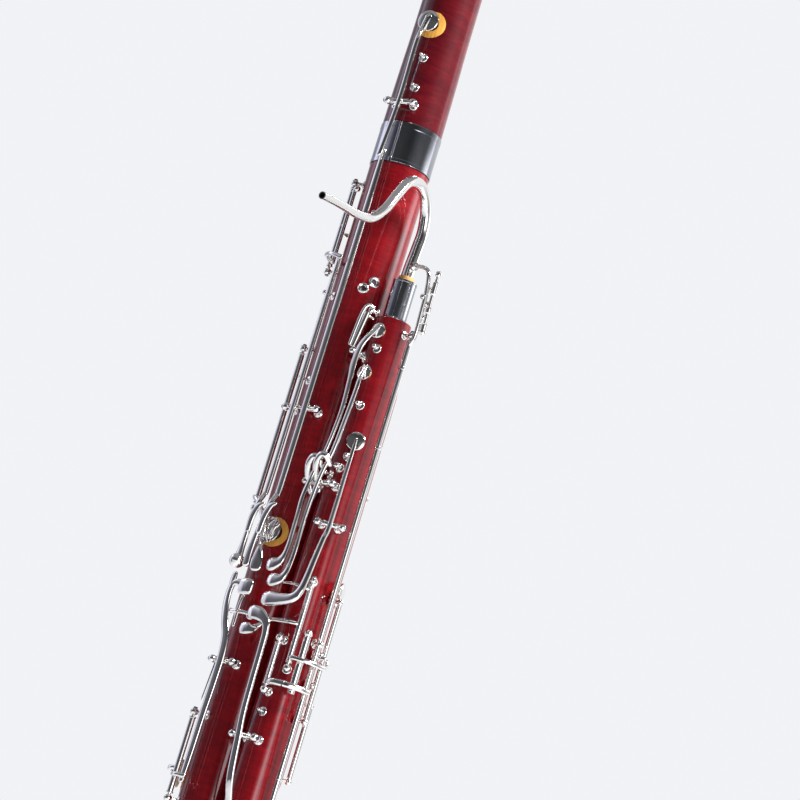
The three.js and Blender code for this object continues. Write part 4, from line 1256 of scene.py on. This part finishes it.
# Brightness of the reflecting screen in front: azimuths across, in degrees, and heights down, in metres.
SCREEN_AZIMUTHS = (-120, -104, -88, -76, -64, -50, -34, -20, 20, 48, 58, 66, 78, 98, 118, 130, 142, 158)
SCREEN_ROWS = [
    (-0.3, (0.5, 0.5, 0.4, 0.6, 0.5, 0.1, 0.1, 0.1, 0.09, 0.1, 0.8, 1.5, 0.8, 0.3, 0.3, 0.5, 0.7, 0.9)),
    (0.7, (0.5, 0.5, 0.4, 1.1, 0.8, 0.16, 0.14, 0.1, 0.09, 0.2, 2.4, 5.2, 2.6, 0.4, 0.4, 0.5, 0.7, 0.9)),
    (0.98, (0.5, 0.5, 0.4, 1.2, 0.9, 0.24, 0.22, 0.1, 0.09, 0.2, 1.6, 3.6, 1.8, 0.4, 0.4, 0.6, 0.7, 0.7)),
    (1.2, (0.5, 0.5, 0.4, 1.2, 0.8, 0.35, 0.3, 0.12, 0.09, 0.1, 0.5, 0.8, 0.8, 0.6, 0.6, 0.8, 1.0, 0.7)),
    (1.4, (0.5, 0.5, 0.5, 1.4, 0.9, 0.5, 0.4, 0.14, 0.08, 0.08, 0.1, 0.2, 0.3, 0.4, 0.5, 1.1, 1.8, 1.0)),
    (1.52, (0.5, 0.5, 0.5, 1.6, 1, 0.55, 0.45, 0.14, 0.08, 0.06, 0.06, 0.1, 0.2, 0.3, 0.5, 3.2, 6.5, 2)),
    (1.68, (0.5, 0.5, 0.5, 1.8, 1.1, 0.65, 0.5, 0.12, 0.06, 0.04, 0.05, 0.08, 0.1, 0.1, 0.1, 0.2, 0.4, 1.8)),
    (2.2, (0.5, 0.5, 0.5, 1.8, 1.1, 0.6, 0.5, 0.1, 0.05, 0.03, 0.05, 0.05, 0.1, 0.1, 0.1, 0.2, 0.3, 1.2)),
]


def make_screen():
    """A curved screen in front of the instrument. It isn't in the picture: it only shows in reflections."""
    points, colours = [], []
    for z, tones in SCREEN_ROWS:
        for azimuth, tone in through(list(zip(SCREEN_AZIMUTHS, tones)), SCREEN_STEPS):
            t = math.radians(azimuth)
            points.append(V(math.sin(t) * SCREEN_RADIUS, -math.cos(t) * SCREEN_RADIUS, z))
            tone = max(tone, DARKEST)
            cool = 0.12 if azimuth < 0 else 0.03
            colours += [tone * (1 - cool), tone * (1 - cool), tone * (1 + cool * 0.5), 1]
    count = len(points) // len(SCREEN_ROWS)
    faces = [(r + i, r + i + 1, r + count + i + 1, r + count + i)
             for r in range(0, count * (len(SCREEN_ROWS) - 1), count) for i in range(count - 1)]
    n = Nodes("reflector")
    glow = n.add("ShaderNodeAttribute")
    glow.attribute_name = "glow"
    n.set(Base_Color=BLACK, Roughness=1.0, Specular_IOR_Level=0.0,
          Emission_Color=glow.outputs["Color"], Emission_Strength=1.0)
    mesh = sheet("reflector", points, faces, n.material)
    mesh.color_attributes.new("glow", "FLOAT_COLOR", "POINT").data.foreach_set("color", colours)


def make_ceiling():
    """A grey ceiling over the set, so that the wood's shaded side stays deep."""
    n = Nodes("ceiling")
    cloud = n.noise((1, 1, 1), 2)
    grey = n.ramp(cloud, (0.3, (0.22, 0.22, 0.24)), (0.7, (0.28, 0.28, 0.30)))
    n.set(Base_Color=BLACK, Roughness=1.0, Specular_IOR_Level=0.0,
          Emission_Color=grey, Emission_Strength=1.0)
    corners = [V(-2.4, -3, 2.9), V(2.4, -3, 2.9), V(2.4, 1.6, 2.9), V(-2.4, 1.6, 2.9)]
    sheet("ceiling", corners, [(0, 3, 2, 1)], n.material)


def make_light():
    world = bpy.data.worlds.new("studio")
    scene.world = world
    world.use_nodes = True
    sky = world.node_tree.nodes["Background"]
    sky.inputs["Color"].default_value = (0.88, 0.89, 0.915, 1)
    sky.inputs["Strength"].default_value = 1.0
    panel("softbox_high", 106, 2.55, 2.0, 1.4, 0.7, 190)
    make_screen()
    make_ceiling()


for make in (
    make_wood, make_wing, make_boot, make_bands, make_bocal, make_inner, make_fittings,
    make_low_b_flat, make_long_levers, make_low_b, make_low_c, make_low_d, make_little_finger_keys,
    make_high_keys, make_high_a, make_thumb_c_sharp, make_whisper, make_trill, make_grommets,
    make_boot_keys, make_floor, make_light,
):
    make()

scene.view_settings.view_transform = "Standard"
